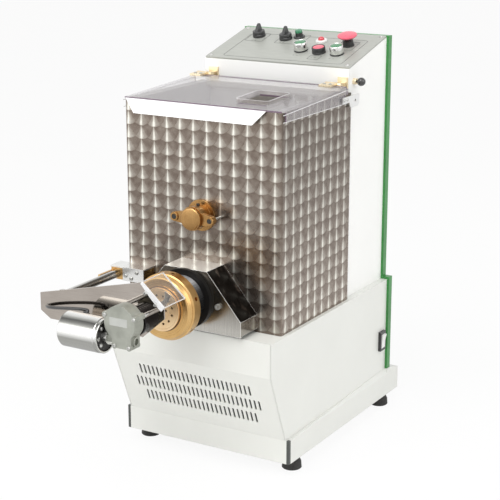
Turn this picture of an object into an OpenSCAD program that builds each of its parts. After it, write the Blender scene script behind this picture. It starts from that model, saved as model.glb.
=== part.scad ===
// Table-top electric pasta maker: a mixing tub over an auger extruder, with a swing-in motorised cutter.
// Millimetres, +Z up. The machine stands on its feet at Z = 0, and the origin lies under its middle.
// Inside the modules X = 0 is the middle plane of the tub and Y = 0 is the front face of the tub.

/* [Cabinet] */
// Width of the cabinet between its outer side faces
cabinet_w = 360; // [352:1:400]
// Height of the cabinet's top over the floor
cabinet_top = 285; // [270:1:300]
// How far the upper front panel stands out in front of the tub
fascia_reach = 50; // [30:1:60]
// Height of the upright part of the front panel
fascia_h = 68; // [50:1:80]
// How far the foot of the sloping panel lies behind the tub's front
front_setback = 7; // [0:1:20]
// Thickness of the cabinet and column sheet
sheet_t = 2; // [1.5:0.1:3]
// Height of the upright skirt round the foot tray
skirt_h = 48; // [40:1:55]
// Width of the sloped ledge between the skirt and the cabinet side
ledge_w = 7; // [5:0.5:12]
// Height of that ledge at the rear
ledge_h = 10; // [6:1:14]
// How far the foot tray reaches behind the rear cover's front edge
tray_tail = 53; // [40:1:70]
// Side of the grey corner posts of the skirt
post_w = 6; // [4:0.5:8]

/* [Feet] */
// Height of the rubber feet
foot_h = 27; // [22:1:34]
// Diameter of a foot on the floor
foot_d = 39; // [32:1:44]
// Distance from the skirt's side to a foot's axis
foot_inset = 21; // [20:1:30]
// Distance from the skirt's ends to a foot's axis
foot_end = 49; // [30:1:70]

/* [Vents] */
// Width of one vent slot
slot_w = 4; // [3:0.1:5]
// Length of one vent slot
slot_l = 24; // [18:1:26]
// Distance from slot to slot
slot_pitch = 9.92; // [8.5:0.01:10.2]
// Distance from row to row down the slope
slot_row_pitch = 33.5; // [30:0.5:36]
// Slots in the outer rows
slot_count = 26; // [20:1:28]

/* [Column] */
// Width of the control column as a share of the tub's width
column_w = 0.96; // [0.9:0.005:0.975]
// Depth of the control column
column_d = 167; // [150:1:190]
// Rise of the column's front edge over the tub's rim
column_h = 48; // [35:1:70]
// Tilt of the control panel
panel_tilt = 15; // [8:1:20]
// Thickness of the control panel plate
panel_t = 3; // [2:0.5:4]
// Depth of the green rear cover's rim
cover_rim = 15; // [10:1:20]
// How far the rear cover's rim stands out beside the white walls
cover_lip = 5; // [3:0.5:7]

/* [Tub] */
// Width of the tub casing
tub_w = 344; // [334:1:350]
// Depth of the tub casing
tub_d = 275; // [260:1:290]
// Height of the tub casing
tub_h = 420; // [410:1:440]
// Radius of the casing's upright corners
tub_r = 4; // [3:0.5:8]
// Thickness of the casing's sheet
tub_t = 2; // [1.5:0.1:3]
// Half of the width of the tank's open top
tank_half = 150; // [146:1:156]
// Radius of the tank's round trough
trough_r = 118; // [112:1:122]
// Thickness of the tank's sheet
tank_t = 3; // [2:0.5:4]

/* [Drive] */
// Height of the auger's axis over the cabinet's top
auger_rise = 65; // [62:1:70]
// Module of the spur gears
gear_module = 3; // [2.8:0.1:3.1]
// Teeth of the auger's gear
auger_teeth = 42; // [40:2:44]
// Teeth of the mixer's gear
mixer_teeth = 56; // [54:2:60]
// Teeth of the drive pinion
pinion_teeth = 18; // [16:2:20]
// Face width of the gears
gear_w = 18; // [12:1:22]
// Thinning of each tooth that gives the gears their backlash
tooth_slack = 0.5; // [0.3:0.05:0.8]
// Diameter of the mixer's and the auger's shafts
shaft_d = 20; // [16:1:22]

/* [Mixer] */
// Reach of the mixing paddles from their axis
paddle_r = 108; // [96:1:109]
// Width of a paddle's blade
blade_w = 34; // [24:1:38]
// Number of paddles
paddle_count = 5; // [4:1:6]
// Diameter of the front bearing's round flange
bearing_flange_d = 60; // [54:1:66]
// Distance between the two ears of the front bearing
ear_span = 78; // [72:1:84]
// Diameter of an ear
ear_d = 18; // [14:1:20]
// Diameter of the turning knob on the mixer's axis
knob_d = 43; // [38:1:46]

/* [Extruder] */
// Outer diameter of the extrusion barrel
barrel_d = 92; // [86:1:96]
// Bore of the barrel and of the auger's channel
barrel_bore = 62; // [56:1:64]
// Outer diameter of the auger's flight
auger_d = 60; // [52:1:60.4]
// Pitch of the auger's flight
auger_pitch = 42; // [36:1:50]
// Depth of the barrel's bracket in front of the tub
bracket_d = 60; // [54:1:64]
// Width of the bracket's front at its foot
bracket_w = 240; // [230:1:246]
// Width of the bracket's front at its top
bracket_top_w = 94; // [80:1:100]
// Thickness of the bracket's sheet
bracket_t = 2.5; // [2:0.5:3]
// Diameter of the black flange ring on the bracket
flange_d = 116; // [110:1:122]
// Thickness of that ring
flange_t = 8; // [6:1:10]
// Outer diameter of the bronze ring nut
nut_d = 127; // [120:1:130]
// Thickness of the ring nut
nut_t = 34; // [32:1:38]
// Gap between the flange ring and the ring nut
nut_gap = 38; // [34:1:44]
// Diameter of the die's visible face
die_d = 82; // [76:1:88]
// How far the die stands out of the ring nut
die_proud = 6; // [3:0.5:8]

/* [Cutter arm] */
// Distance from the tub's side to the arm's pivot
pivot_x = 6; // [4:1:9]
// Rise of the arm's pivot over the auger's axis
pivot_rise = 14; // [12:1:16]
// Diameter of the pivot tube
pivot_d = 16; // [12:0.5:17]
// Gap between the die's face and the arm's plate
arm_gap = 58; // [54:1:66]
// Thickness of the arm's plate
arm_t = 3; // [2:0.5:4]
// Length of the standoffs between the plate and the gearbox
standoff_l = 38; // [34:1:46]
// Thickness of the gearbox
gearbox_t = 27; // [24:1:32]
// Radius of the gearbox's round lobe
lobe_r = 33; // [31:0.5:35]
// Rise of the lobe's centre over the knife's axis
lobe_rise = 8; // [4:1:10]
// Diameter of the cutter's motor
cutter_d = 65; // [60:1:68]
// Length of the cutter's motor
cutter_l = 85; // [75:1:92]
// Reach of the knife's blades from their axis
knife_r = 40; // [34:1:42]
// Clearance between the knife and the die
knife_gap = 0.5; // [0.3:0.1:1]
// Thickness of the transparent guard
guard_t = 3; // [2:0.5:4]

/* [Lid] */
// Thickness of the transparent lid
lid_t = 3; // [2:0.5:4]
// How far the lid's side flanges reach below the tub's rim
lid_flange = 17.5; // [12:0.5:20]
// How much higher the lid's back edge lies than its front edge
lid_rise = 12; // [6:1:14]
// Radius of the lid's side bends
lid_bend = 7; // [4:0.5:9]
// Width of the feed opening
feed_w = 66; // [50:1:70]
// Depth of the feed opening
feed_d = 82; // [70:1:110]
// Height of the feed opening's rim over the lid
feed_rim_h = 7; // [5:1:12]
// Width of the lid's tilted front flap at its top
flap_w = 307; // [280:1:312]
// Drop of the front flap
flap_drop = 26; // [20:1:32]
// Diameter of the hinge pins
hinge_pin_d = 5; // [4:0.5:6]

/* [Controls] */
// Diameter of the bezels on the control panel
bezel_d = 29; // [26:0.5:30]
// Diameter of the holes that the controls are mounted in
hole_d = 22; // [20:0.5:23]
// Diameter of the emergency stop's head
stop_head_d = 40; // [36:1:42]
// Travel of the push buttons
button_travel = 4; // [3:0.5:5]
// Diameter of the ball on the lid's latch
ball_d = 17; // [14:0.5:20]
// How far the latch's ball reaches out from the column's side
latch_reach = 25; // [23:1:28]
// Width of the mains rocker's frame
rocker_w = 24; // [20:1:28]
// Height of the mains rocker's frame
rocker_h = 42; // [36:1:48]

/* [Hidden] */
$fn = 64;

eps = 0.01;
fit = 0.05;              // radial running clearance of a shaft in its bore
clear = 0.3;             // gap between pieces that move past each other
steel_white = [0.94, 0.94, 0.91];
steel = [0.70, 0.68, 0.65];
bronze = [0.78, 0.62, 0.38];
green = [0.16, 0.55, 0.28];
black = [0.10, 0.10, 0.11];
zinc = [0.67, 0.68, 0.64];
clear_grey = [0.75, 0.72, 0.76, 0.45];

// Heights
tray_z = foot_h;
tray_top = foot_h + skirt_h;
auger_z = cabinet_top + auger_rise;
mixer_z = auger_z + gear_module * (auger_teeth + mixer_teeth) / 2;
pinion_z = auger_z - gear_module * (auger_teeth + pinion_teeth) / 2;
tub_top = cabinet_top + tub_h;
panel_z = tub_top + column_h;

// Depths and widths
column_half = column_w * tub_w / 2;
pivot_side = tub_w / 2 + pivot_x;
column_y = tub_d;
rear_y = column_y + column_d;
tray_end = rear_y + tray_tail;
tray_w = cabinet_w + 2 * ledge_w;
panel_len = column_d / cos(panel_tilt);

// Extruder, measured forward from the tub's front face
flange_y = -bracket_d - flange_t;
nut_back = flange_y - nut_gap;
nut_front = nut_back - nut_t;
die_face = nut_front - die_proud;

// Cutter arm
pivot_z = auger_z + pivot_rise;
plate_back = die_face - arm_gap;
plate_front = plate_back - arm_t;
gearbox_back = plate_front - standoff_l;
gearbox_front = gearbox_back - gearbox_t;
screw_head = 3;
plate_margin = 49;
lobe_z = auger_z + lobe_rise;
worm_z = lobe_z - 32;
worm_y = (gearbox_back + gearbox_front) / 2;
arm_front = min(gearbox_front - screw_head, worm_y - cutter_d / 2);
cutter_right = -42;

// The box round the whole machine, whose foot's middle is the origin
max_x = max(column_half + latch_reach, tray_w / 2);
min_x = -pivot_side - plate_margin;
mid_x = (max_x + min_x) / 2;
mid_y = (arm_front + tray_end) / 2;

// Lid
lid_gap = 0.6;
lid_w = tub_w + 2 * (lid_gap + lid_t);
lid_z = tub_top + 0.3;
hinge_y = column_y - 18;
hinge_r = 5.5;
lid_back = hinge_y - 7;
lid_front = 3;
lid_tilt = atan2(lid_rise, lid_back + lid_front);
hinge_z = lid_z + lid_rise + lid_t - 0.5;
hinge_inset = 48;
hinge_x = [-tub_w / 2, tub_w / 2 - hinge_inset];
leaf_w = 26;
leaf_l = 30;
leaf_t = 4;
bracket_ear_w = 8;
latch_y = column_y + 21;
latch_z = tub_top + 19;

module placed() {
    translate([-mid_x, -mid_y, 0]) children();
}

// ---------- shared shapes ----------

// A cylinder along Y from y0 towards y1
module rod_y(r, y0, y1) {
    translate([0, max(y0, y1), 0]) rotate([90, 0, 0]) cylinder(r = r, h = abs(y1 - y0));
}

// A cylinder along X from x0 towards x1
module rod_x(r, x0, x1) {
    translate([min(x0, x1), 0, 0]) rotate([0, 90, 0]) cylinder(r = r, h = abs(x1 - x0));
}

// Extrudes an outline drawn in X and Z from y0 to y1
module slab_y(y0, y1) {
    translate([0, max(y0, y1), 0]) rotate([90, 0, 0]) linear_extrude(abs(y1 - y0)) children();
}

// Extrudes an outline drawn in Y and Z from x0 to x1
module slab_x(x0, x1) {
    translate([x0, 0, 0]) rotate([90, 0, 90]) linear_extrude(x1 - x0) children();
}

// A flat rectangle with round corners, centred on X, that starts at y = 0
module round_rect(w, d, r) {
    translate([-w / 2 + r, 0]) square([w - 2 * r, d]);
    translate([-w / 2, r]) square([w, d - 2 * r]);
    for (x = [-w / 2 + r, w / 2 - r], y = [r, d - r]) translate([x, y]) circle(r);
}

// A screw with a round head and a cross slot, its head's seat at z = 0
module pan_screw(d, shank) {
    difference() {
        union() {
            cylinder(d1 = d, d2 = d * 0.7, h = screw_head);
            translate([0, 0, -shank]) cylinder(d = d / 2, h = shank + eps);
        }
        for (a = [0, 90]) rotate([0, 0, a]) translate([-d * 0.3, -0.5, screw_head - 1])
            cube([d * 0.6, 1, 2]);
    }
}

// A socket-head bolt along -Y, its head's seat at y = 0
module socket_bolt(d, head, shank) {
    difference() {
        union() {
            rod_y(d / 2, 0, -head);
            rod_y(d / 4, shank, -eps);
        }
        translate([0, -head / 2, 0]) rotate([90, 0, 0]) cylinder(d = d * 0.55, h = head, $fn = 6);
    }
}

// Involute of a base circle: the point at roll angle t in degrees
function involute(rb, t) = [
    rb * (cos(t) + t * PI / 180 * sin(t)),
    rb * (sin(t) - t * PI / 180 * cos(t))
];
function turned(p, a) = [p[0] * cos(a) - p[1] * sin(a), p[0] * sin(a) + p[1] * cos(a)];
function roll_at(rb, r) = sqrt(max(r * r / (rb * rb) - 1, 0)) * 180 / PI;

// Spur gear outline with involute flanks; a tooth's middle lies on +X before the turn
module gear_outline(m, teeth, turn) {
    pitch_r = m * teeth / 2;
    base_r = pitch_r * cos(20);
    root_r = pitch_r - 1.25 * m;
    tip_r = pitch_r + 0.95 * m;
    t_pitch = roll_at(base_r, pitch_r);
    p_pitch = involute(base_r, t_pitch);
    half = 90 / teeth - tooth_slack / 2 / pitch_r * 180 / PI + atan2(p_pitch[1], p_pitch[0]);
    start_r = max(base_r, root_r);
    rolls = [for (k = [0:3]) roll_at(base_r, start_r + (tip_r - start_r) * k / 3)];
    low = [for (t = rolls) turned(involute(base_r, t), -half)];
    high = [for (k = [3:-1:0]) [low[k][0], -low[k][1]]];
    foot = atan2(low[0][1], low[0][0]);
    tooth = concat([[root_r * cos(foot), root_r * sin(foot)]], low, high,
                   [[root_r * cos(foot), -root_r * sin(foot)]]);
    polygon([for (i = [0:teeth - 1], p = tooth) turned(p, i * 360 / teeth + turn)]);
}

// Spur gear with its bore's axis along Y, a hub and a ring of lightening holes
module spur_gear(teeth, turn, hub_d, holes) {
    pitch_r = gear_module * teeth / 2;
    difference() {
        union() {
            slab_y(gear_y, gear_y + gear_w) gear_outline(gear_module, teeth, turn);
            rod_y(hub_d / 2, gear_y, gear_y + gear_w + gear_hub);
        }
        rod_y(shaft_d / 2, gear_y - 1, gear_y + gear_w + gear_hub + 1);
        for (a = [0:360 / holes:359]) rotate([0, a, 0])
            translate([pitch_r * 0.58, 0, 0]) rod_y(pitch_r * 0.17, gear_y - 1, gear_y + gear_w + 1);
    }
}
gear_y = column_y + 16;
gear_hub = 8;

// Places children on the sloping control panel, s up the slope from its front edge
module on_panel(x, s) {
    translate([x, column_y + s * cos(panel_tilt), panel_z + s * sin(panel_tilt)])
        rotate([panel_tilt, 0, 0]) children();
}

// ---------- cabinet ----------

slope_run = fascia_reach + front_setback;
slope_drop = cabinet_top - fascia_h - tray_top;
slope_len = norm([slope_run, slope_drop]);
slope_angle = atan2(slope_run, slope_drop);
fascia_z = cabinet_top - fascia_h;
side_profile = [
    [-fascia_reach, cabinet_top - sheet_t], [-fascia_reach, fascia_z], [front_setback, tray_top],
    [rear_y, tray_top], [rear_y, cabinet_top - sheet_t]
];

// White cabinet: two sides and a top with a well for the gears
module base_body() {
    color(steel_white) union() {
        for (x = [-cabinet_w / 2, cabinet_w / 2 - sheet_t]) slab_x(x, x + sheet_t) polygon(side_profile);
        difference() {
            translate([-cabinet_w / 2, -fascia_reach, cabinet_top - sheet_t])
                cube([cabinet_w, rear_y + fascia_reach, sheet_t]);
            translate([-well_w / 2, column_y + 8, cabinet_top - sheet_t - 1])
                cube([well_w, well_d, sheet_t + 2]);
        }
    }
}
well_w = 150;
well_d = 60;

// Folded front panel with three rows of vent slots
module front_panel() {
    w = cabinet_w - 2 * sheet_t - 2 * seam;
    fold = sheet_t * tan(slope_angle / 2);
    color(steel_white) difference() {
        slab_x(-w / 2, w / 2) polygon([
            [-fascia_reach, cabinet_top - sheet_t], [-fascia_reach, fascia_z], [front_setback, tray_top],
            [front_setback + sheet_t / cos(slope_angle), tray_top],
            [-fascia_reach + sheet_t, fascia_z + fold],
            [-fascia_reach + sheet_t, cabinet_top - sheet_t]
        ]);
        translate([0, front_setback, tray_top]) rotate([90 + slope_angle, 0, 0])
            translate([0, 0, -sheet_t - 1]) linear_extrude(sheet_t + 2) vent_rows();
    }
}
seam = 0.6;
slot_margin = 41;        // from the upper fold to the middle of the first row

module vent_rows() {
    for (row = [0:2]) {
        count = slot_count + (row == 1 ? 3 : 0);
        translate([0, slope_len - slot_margin - row * slot_row_pitch])
            for (i = [0:count - 1]) translate([(i - (count - 1) / 2) * slot_pitch, 0]) slot();
    }
}

module slot() {
    translate([-slot_w / 2, -(slot_l - slot_w) / 2]) square([slot_w, slot_l - slot_w]);
    for (s = [-1, 1]) translate([0, s * (slot_l - slot_w) / 2]) circle(d = slot_w, $fn = 24);
}

// Foot tray: floor, skirt, and the ledge that rises beside the cabinet towards the rear
module foot_tray() {
    len = tray_end - front_setback;
    rim = sheet_t + 3;
    color(steel_white) difference() {
        union() {
            translate([-tray_w / 2, front_setback, tray_z]) cube([tray_w, len, skirt_h]);
            for (s = [-1, 1]) ledge(s);
            tail_slope();
        }
        translate([-tray_w / 2 + sheet_t, front_setback + sheet_t, tray_z + sheet_t])
            cube([tray_w - 2 * sheet_t, len - 2 * sheet_t, skirt_h - 2 * sheet_t]);
        translate([-cabinet_w / 2 + sheet_t, front_setback + rim, tray_top - sheet_t - 1])
            cube([cabinet_w - 2 * sheet_t, rear_y - front_setback - rim - 1, ledge_h + sheet_t + 2]);
        for (s = [-1, 1]) at_post(s) cube([post_w + eps, post_w + eps, skirt_h + 1], center = true);
    }
}

// Ledge of one side, cut by two sloping planes
module ledge(s) {
    out = s * tray_w / 2;
    near = s * cabinet_w / 2;
    base = tray_top - eps;
    intersection() {
        slab_x(min(out, near), max(out, near)) polygon([
            [front_setback, base], [rear_y, base], [rear_y, tray_top + ledge_h], [front_setback, tray_top]
        ]);
        slab_y(front_setback, rear_y) polygon([
            [near, base], [out, base], [out, tray_top], [near, tray_top + ledge_h]
        ]);
    }
}

// The tray's sloped tail behind the rear cover
module tail_slope() {
    slab_x(-tray_w / 2, tray_w / 2) polygon([
        [rear_y, tray_top - eps], [tray_end, tray_top - eps], [rear_y + cover_rim, tray_top + ledge_h],
        [rear_y, tray_top + ledge_h]
    ]);
}

// Middle of the corner post of side s
module at_post(s) {
    translate([s * (tray_w / 2 - post_w / 2), front_setback + post_w / 2, tray_z + skirt_h / 2]) children();
}

module corner_posts() {
    color([0.45, 0.45, 0.44]) for (s = [-1, 1]) at_post(s) cube([post_w, post_w, skirt_h], center = true);
}

foot_x = tray_w / 2 - foot_inset;
foot_y = [front_setback + foot_end, tray_end - foot_end];

module rubber_feet() {
    color(black) for (x = [-foot_x, foot_x], y = foot_y) translate([x, y, 0]) rotate_extrude() polygon([
        [0, 0], [foot_d / 2 - 1.5, 0], [foot_d / 2, 1.5], [foot_d / 2 - 1, foot_h * 0.5],
        [foot_d / 2 - 5, foot_h - 5], [foot_d / 2 - 4, foot_h], [0, foot_h]
    ]);
}

// ---------- column ----------

column_back_z = panel_z + column_d * tan(panel_tilt);
column_side = [
    [column_y, cabinet_top], [rear_y, cabinet_top], [rear_y, column_back_z - panel_t / cos(panel_tilt)],
    [column_y, panel_z - panel_t / cos(panel_tilt)]
];

module column_shell() {
    color(steel_white) difference() {
        slab_x(-column_half, column_half) polygon(column_side);
        translate([-column_half + sheet_t, column_y + sheet_t, cabinet_top - 1])
            cube([2 * (column_half - sheet_t), column_d, panel_z]);
        for (z = [auger_z, mixer_z]) translate([0, 0, z])
            rod_y(shaft_d / 2 + 4, column_y - 1, column_y + sheet_t + 1);
        translate([0, latch_y, latch_z]) rod_x(4 + fit, column_half - sheet_t - 1, column_half + 1);
    }
}

// Printed control plate; its holes take the controls
module control_plate() {
    color([0.80, 0.82, 0.80]) difference() {
        on_panel(0, 0) translate([0, 0, -panel_t]) linear_extrude(panel_t)
            round_rect(2 * column_half, panel_len, 3);
        for (p = control_spots) on_panel(p[0], p[1]) translate([0, 0, -panel_t - 1])
            cylinder(d = hole_d + 2 * fit, h = panel_t + 2);
        for (p = panel_screw_spots) on_panel(p[0], p[1]) translate([0, 0, -panel_t - 1])
            cylinder(d = 4.2, h = panel_t + 2);
        translate([-tub_w, rear_y, cabinet_top]) cube([2 * tub_w, column_d, panel_z]);
    }
}
selector_spots = [[-107, 125], [-40, 119.5]];
button_spots = [[24, 66], [67, 62], [108, 61]];
bezel_h = [19, 13, 19];
lamp_spots = [[-16, 134], [43, 120]];
stop_spot = [110, 108];
control_spots = concat(selector_spots, button_spots, lamp_spots, [stop_spot]);
panel_screw_spots = [for (x = [-1, 1], s = [9, panel_len - 9]) [x * (column_half - 9), s]];

// Green rear cover: a pan whose rim stands out all round the white walls
module rear_cover() {
    color(green) difference() {
        slab_y(rear_y, rear_y + cover_rim) cover_outline(cover_lip, 0);
        slab_y(rear_y - 1, rear_y + cover_rim - sheet_t) cover_outline(-cover_wall, cover_wall);
        translate([gland_x, 0, gland_z]) rod_y(gland_d / 2, rear_y, rear_y + cover_rim + 1);
        for (p = cover_screw_spots) translate([p[0], 0, p[1]])
            rod_y(2.1, rear_y + 4, rear_y + cover_rim + 1);
        for (i = [0:7]) translate([0, 0, cabinet_top + 60 + i * 14])
            slab_y(rear_y, rear_y + cover_rim + 1) for (x = [-80, 0, 80]) translate([x - 25, 0])
                square([50, 4]);
    }
}
cover_wall = 4;
cover_screw_spots = [
    for (x = [-1, 1], z = [cabinet_top + 35, (cabinet_top + column_back_z) / 2, column_back_z - 12])
        [x * (column_half - 1), z]
];
gland_x = -110;
gland_z = 140;
gland_d = 16;

// Stepped outline of the rear cover, wider beside the cabinet than beside the column
module cover_outline(out, up) {
    step_z = cabinet_top + out;
    translate([-cabinet_w / 2 - out, tray_top + ledge_h + up])
        square([cabinet_w + 2 * out, step_z - tray_top - ledge_h - up]);
    translate([-column_half - out, tray_top + ledge_h + up])
        square([2 * (column_half + out), column_back_z - 2 * up - tray_top - ledge_h]);
}

// Pan-head screws of the control plate, the rear cover and the arm's bracket
module casing_screws() {
    color(zinc) {
        for (p = panel_screw_spots) on_panel(p[0], p[1]) pan_screw(8, 8);
        for (p = cover_screw_spots) translate([p[0], rear_y + cover_rim, p[1]]) rotate([-90, 0, 0])
            pan_screw(8, 8);
        for (p = bracket_screw_spots) translate([p[0], lug_front - 3, auger_z + p[1]])
            rotate([90, 0, 0]) pan_screw(8, 11);
    }
}

// Cable gland of the mains lead
module mains_gland() {
    color(black) translate([gland_x, 0, gland_z]) difference() {
        union() {
            slab_y(rear_y + cover_rim, rear_y + cover_rim + 5) circle(d = 24, $fn = 6);
            rod_y(gland_d / 2 - fit, rear_y + cover_rim - 8, rear_y + cover_rim + 5);
            rod_y(9, rear_y + cover_rim + 5, rear_y + cover_rim + 14);
        }
        rod_y(4.5, rear_y + cover_rim - 9, rear_y + cover_rim + 15);
    }
}

// ---------- tub ----------

module tub_casing() {
    color(steel) difference() {
        translate([0, 0, cabinet_top]) linear_extrude(tub_h) difference() {
            round_rect(tub_w, tub_d, tub_r);
            translate([0, tub_t]) round_rect(tub_w - 2 * tub_t, tub_d - 2 * tub_t, tub_r - tub_t);
        }
        translate([0, 0, auger_z]) rod_y(barrel_d / 2 + clear, -1, tub_t + 1);
        translate([0, 0, auger_z]) rod_y(shaft_d / 2 + 6, tub_d - tub_t - 1, tub_d + 1);
        translate([0, 0, mixer_z]) rod_y(shaft_d / 2 + 6, -1, tub_d + 1);
    }
}

// Tank outline: open box above, round trough below, and the auger's channel under it
module tank_outline(grow) {
    shoulder = mixer_z + 95;
    translate([0, mixer_z]) circle(trough_r + grow);
    translate([0, auger_z]) circle(barrel_bore / 2 + grow);
    translate([-barrel_bore / 2 - grow, auger_z])
        square([barrel_bore + 2 * grow, mixer_z - trough_r - auger_z + 12]);
    polygon([
        [-trough_r - grow, mixer_z], [trough_r + grow, mixer_z], [tank_half + grow, shoulder],
        [tank_half + grow, tub_top], [-tank_half - grow, tub_top], [-tank_half - grow, shoulder]
    ]);
}

module tub_tank() {
    color(steel) difference() {
        union() {
            slab_y(tub_t, tub_d - tub_t) tank_outline(tank_t);
            translate([-tub_w / 2 + tub_t, tub_t, tub_top - tank_t])
                cube([tub_w - 2 * tub_t, tub_d - 2 * tub_t, tank_t]);
        }
        slab_y(tub_t + tank_t, tub_d - tub_t - tank_t) tank_outline(0);
        translate([-tank_half, tub_t + tank_t, tub_top - tank_t - 1])
            cube([2 * tank_half, tub_d - 2 * tub_t - 2 * tank_t, tank_t + 2]);
        translate([0, 0, auger_z]) rod_y(barrel_bore / 2, -1, tub_t + tank_t + 1);
        for (z = [auger_z, mixer_z]) translate([0, 0, z]) rod_y(shaft_d / 2 + 6, tub_d - 20, tub_d + 1);
        translate([0, 0, mixer_z]) rod_y(shaft_d / 2 + 6, -1, tub_t + tank_t + 1);
        for (x = [-1, 1], y = [tub_t, tub_d - tub_t])
            translate([x * (tub_w / 2 - tub_t), y, tub_top]) corner_relief();
    }
}

// Square relief that keeps the tank's top plate clear of the casing's round corners
module corner_relief() {
    translate([-tub_r, -tub_r, -tank_t - 1]) cube([2 * tub_r, 2 * tub_r, tank_t + 2]);
}

// ---------- mixer ----------

bearing_neck = 30;
ear_t = 9;

// Bronze front bearing with two ears
module mixer_bearing() {
    r = shaft_d / 2 + fit;
    color(bronze) translate([0, 0, mixer_z]) difference() {
        union() {
            rod_y(bearing_flange_d / 2, 0, -5);
            rod_y(shaft_d / 2 + 6 - clear, tub_t + tank_t, -1);
            rod_y(knob_d / 2, -4, -bearing_neck);
            slab_y(-bearing_neck - ear_t + 4, -bearing_neck + 4) ear_outline();
        }
        rod_y(r, 10, -bearing_neck - ear_t);
        for (s = [-1, 1]) translate([s * ear_span / 2, 0, 0]) rod_y(2.6, 0, -bearing_neck - ear_t);
    }
}

module ear_outline() {
    circle(knob_d / 2 + 1.5);
    for (s = [-1, 1]) translate([s * ear_span / 2, 0]) circle(ear_d / 2);
    polygon([
        [-ear_span / 2, ear_d / 2], [-ear_span / 4, ear_d / 2 + 3],
        [ear_span / 4, ear_d / 2 + 3], [ear_span / 2, ear_d / 2],
        [ear_span / 2, -ear_d / 2], [ear_span / 4, -ear_d / 2 - 3],
        [-ear_span / 4, -ear_d / 2 - 3], [-ear_span / 2, -ear_d / 2]
    ]);
}
knob_back = -bearing_neck - ear_t + 4 - clear;

// Round knob on the mixer's front end
module mixer_knob() {
    r = knob_d / 2;
    color(bronze) translate([0, knob_back, mixer_z]) rotate([90, 0, 0]) rotate_extrude() polygon([
        [shaft_d / 2, 0], [r - 1, 0], [r, 1], [r, knob_t - 1.2], [r - 1.2, knob_t], [shaft_d / 2, knob_t]
    ]);
}
knob_t = 8;

// Mixing shaft with its paddles welded on
module mixing_shaft() {
    span = tub_d - 2 * (tub_t + tank_t) - 2 * paddle_side;
    color(steel) translate([0, 0, mixer_z]) union() {
        rod_y(shaft_d / 2, knob_back - knob_t + 0.5, gear_y + gear_w + gear_hub + 2);
        for (i = [0:paddle_count - 1])
            translate([0, tub_t + tank_t + paddle_side + span * (i + 0.5) / paddle_count, 0])
                rotate([0, i * 360 / paddle_count * 2 + 20, 0]) paddle();
    }
}
paddle_side = 8;

module paddle() {
    stem = paddle_r - 40;
    cylinder(d = 12, h = stem + 8);
    translate([0, 0, stem]) rotate([0, 0, 35]) translate([-blade_w / 2, -2, 0])
        cube([blade_w, 4, paddle_tip - stem]);
}
paddle_tip = sqrt(paddle_r * paddle_r - blade_w * blade_w / 4);

// Flanged bearings of both shafts behind the column's front plate
module shaft_bearings() {
    color(zinc) for (z = [auger_z, mixer_z]) translate([0, 0, z]) difference() {
        union() {
            rod_y(bearing_r, column_y + sheet_t, column_y + sheet_t + 6);
            rod_y(bearing_hub_r, column_y + sheet_t, column_y + sheet_t + 10);
            rod_y(shaft_d / 2 + 4 - clear, column_y, column_y + sheet_t + 1);
        }
        rod_y(shaft_d / 2 + fit, column_y - 1, column_y + 20);
        for (a = [45:90:359]) rotate([0, a, 0])
            translate([(bearing_r + bearing_hub_r) / 2, 0, 0]) rod_y(2, column_y, column_y + 20);
    }
}

bearing_r = 26;
bearing_hub_r = 19;

module mixer_gear() {
    color(steel) translate([0, 0, mixer_z]) spur_gear(mixer_teeth, 90 + 180 / mixer_teeth, 40, 6);
}

// ---------- extruder ----------

auger_front = -bracket_d - flange_t - nut_gap + 4;
auger_back = tub_d - tub_t - tank_t - 2;

// Auger: a stepped shaft with one helical flight
module auger() {
    color(steel) translate([0, 0, auger_z]) union() {
        rod_y(13, auger_front, auger_back);
        rod_y(shaft_d / 2, auger_back - 1, gear_y + gear_w + gear_hub + 2);
        helix(auger_front + 1, auger_back - 1, 11, auger_d / 2, 3.5, auger_pitch);
    }
}

// A helical flight along Y with a tapering section, swept by steps of 18 degrees
module helix(y0, y1, r0, r1, t, pitch) {
    steps = floor((y1 - y0 - 2 * t) / pitch * 20);
    rings = [for (i = [0:steps]) let (a = i * 18, y = y0 + t + i * pitch / 20) [
        [r0 * cos(a), y - t, r0 * sin(a)], [r1 * cos(a), y - t / 3, r1 * sin(a)],
        [r1 * cos(a), y + t / 3, r1 * sin(a)], [r0 * cos(a), y + t, r0 * sin(a)]
    ]];
    points = [for (ring = rings, p = ring) p];
    walls = [for (i = [0:steps - 1], k = [0:3])
        let (a = i * 4 + k, b = i * 4 + (k + 1) % 4) [a, b, b + 4, a + 4]];
    polyhedron(points, concat([for (w = walls, f = [[w[0], w[2], w[1]], [w[0], w[3], w[2]]]) f],
                              [[0, 1, 2, 3], [steps * 4 + 3, steps * 4 + 2, steps * 4 + 1, steps * 4]]));
}

module auger_gear() {
    color(steel) translate([0, 0, auger_z]) spur_gear(auger_teeth, 90, 36, 6);
}

// Pinion on the reducer's output shaft
module drive_pinion() {
    color(steel) translate([0, 0, pinion_z]) union() {
        slab_y(gear_y, gear_y + gear_w) gear_outline(gear_module, pinion_teeth, 270 + 180 / pinion_teeth);
        rod_y(12, gear_y - 2, gear_y + gear_w + 4);
        rod_y(10, gear_y - 26, gear_y);
    }
}

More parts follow.
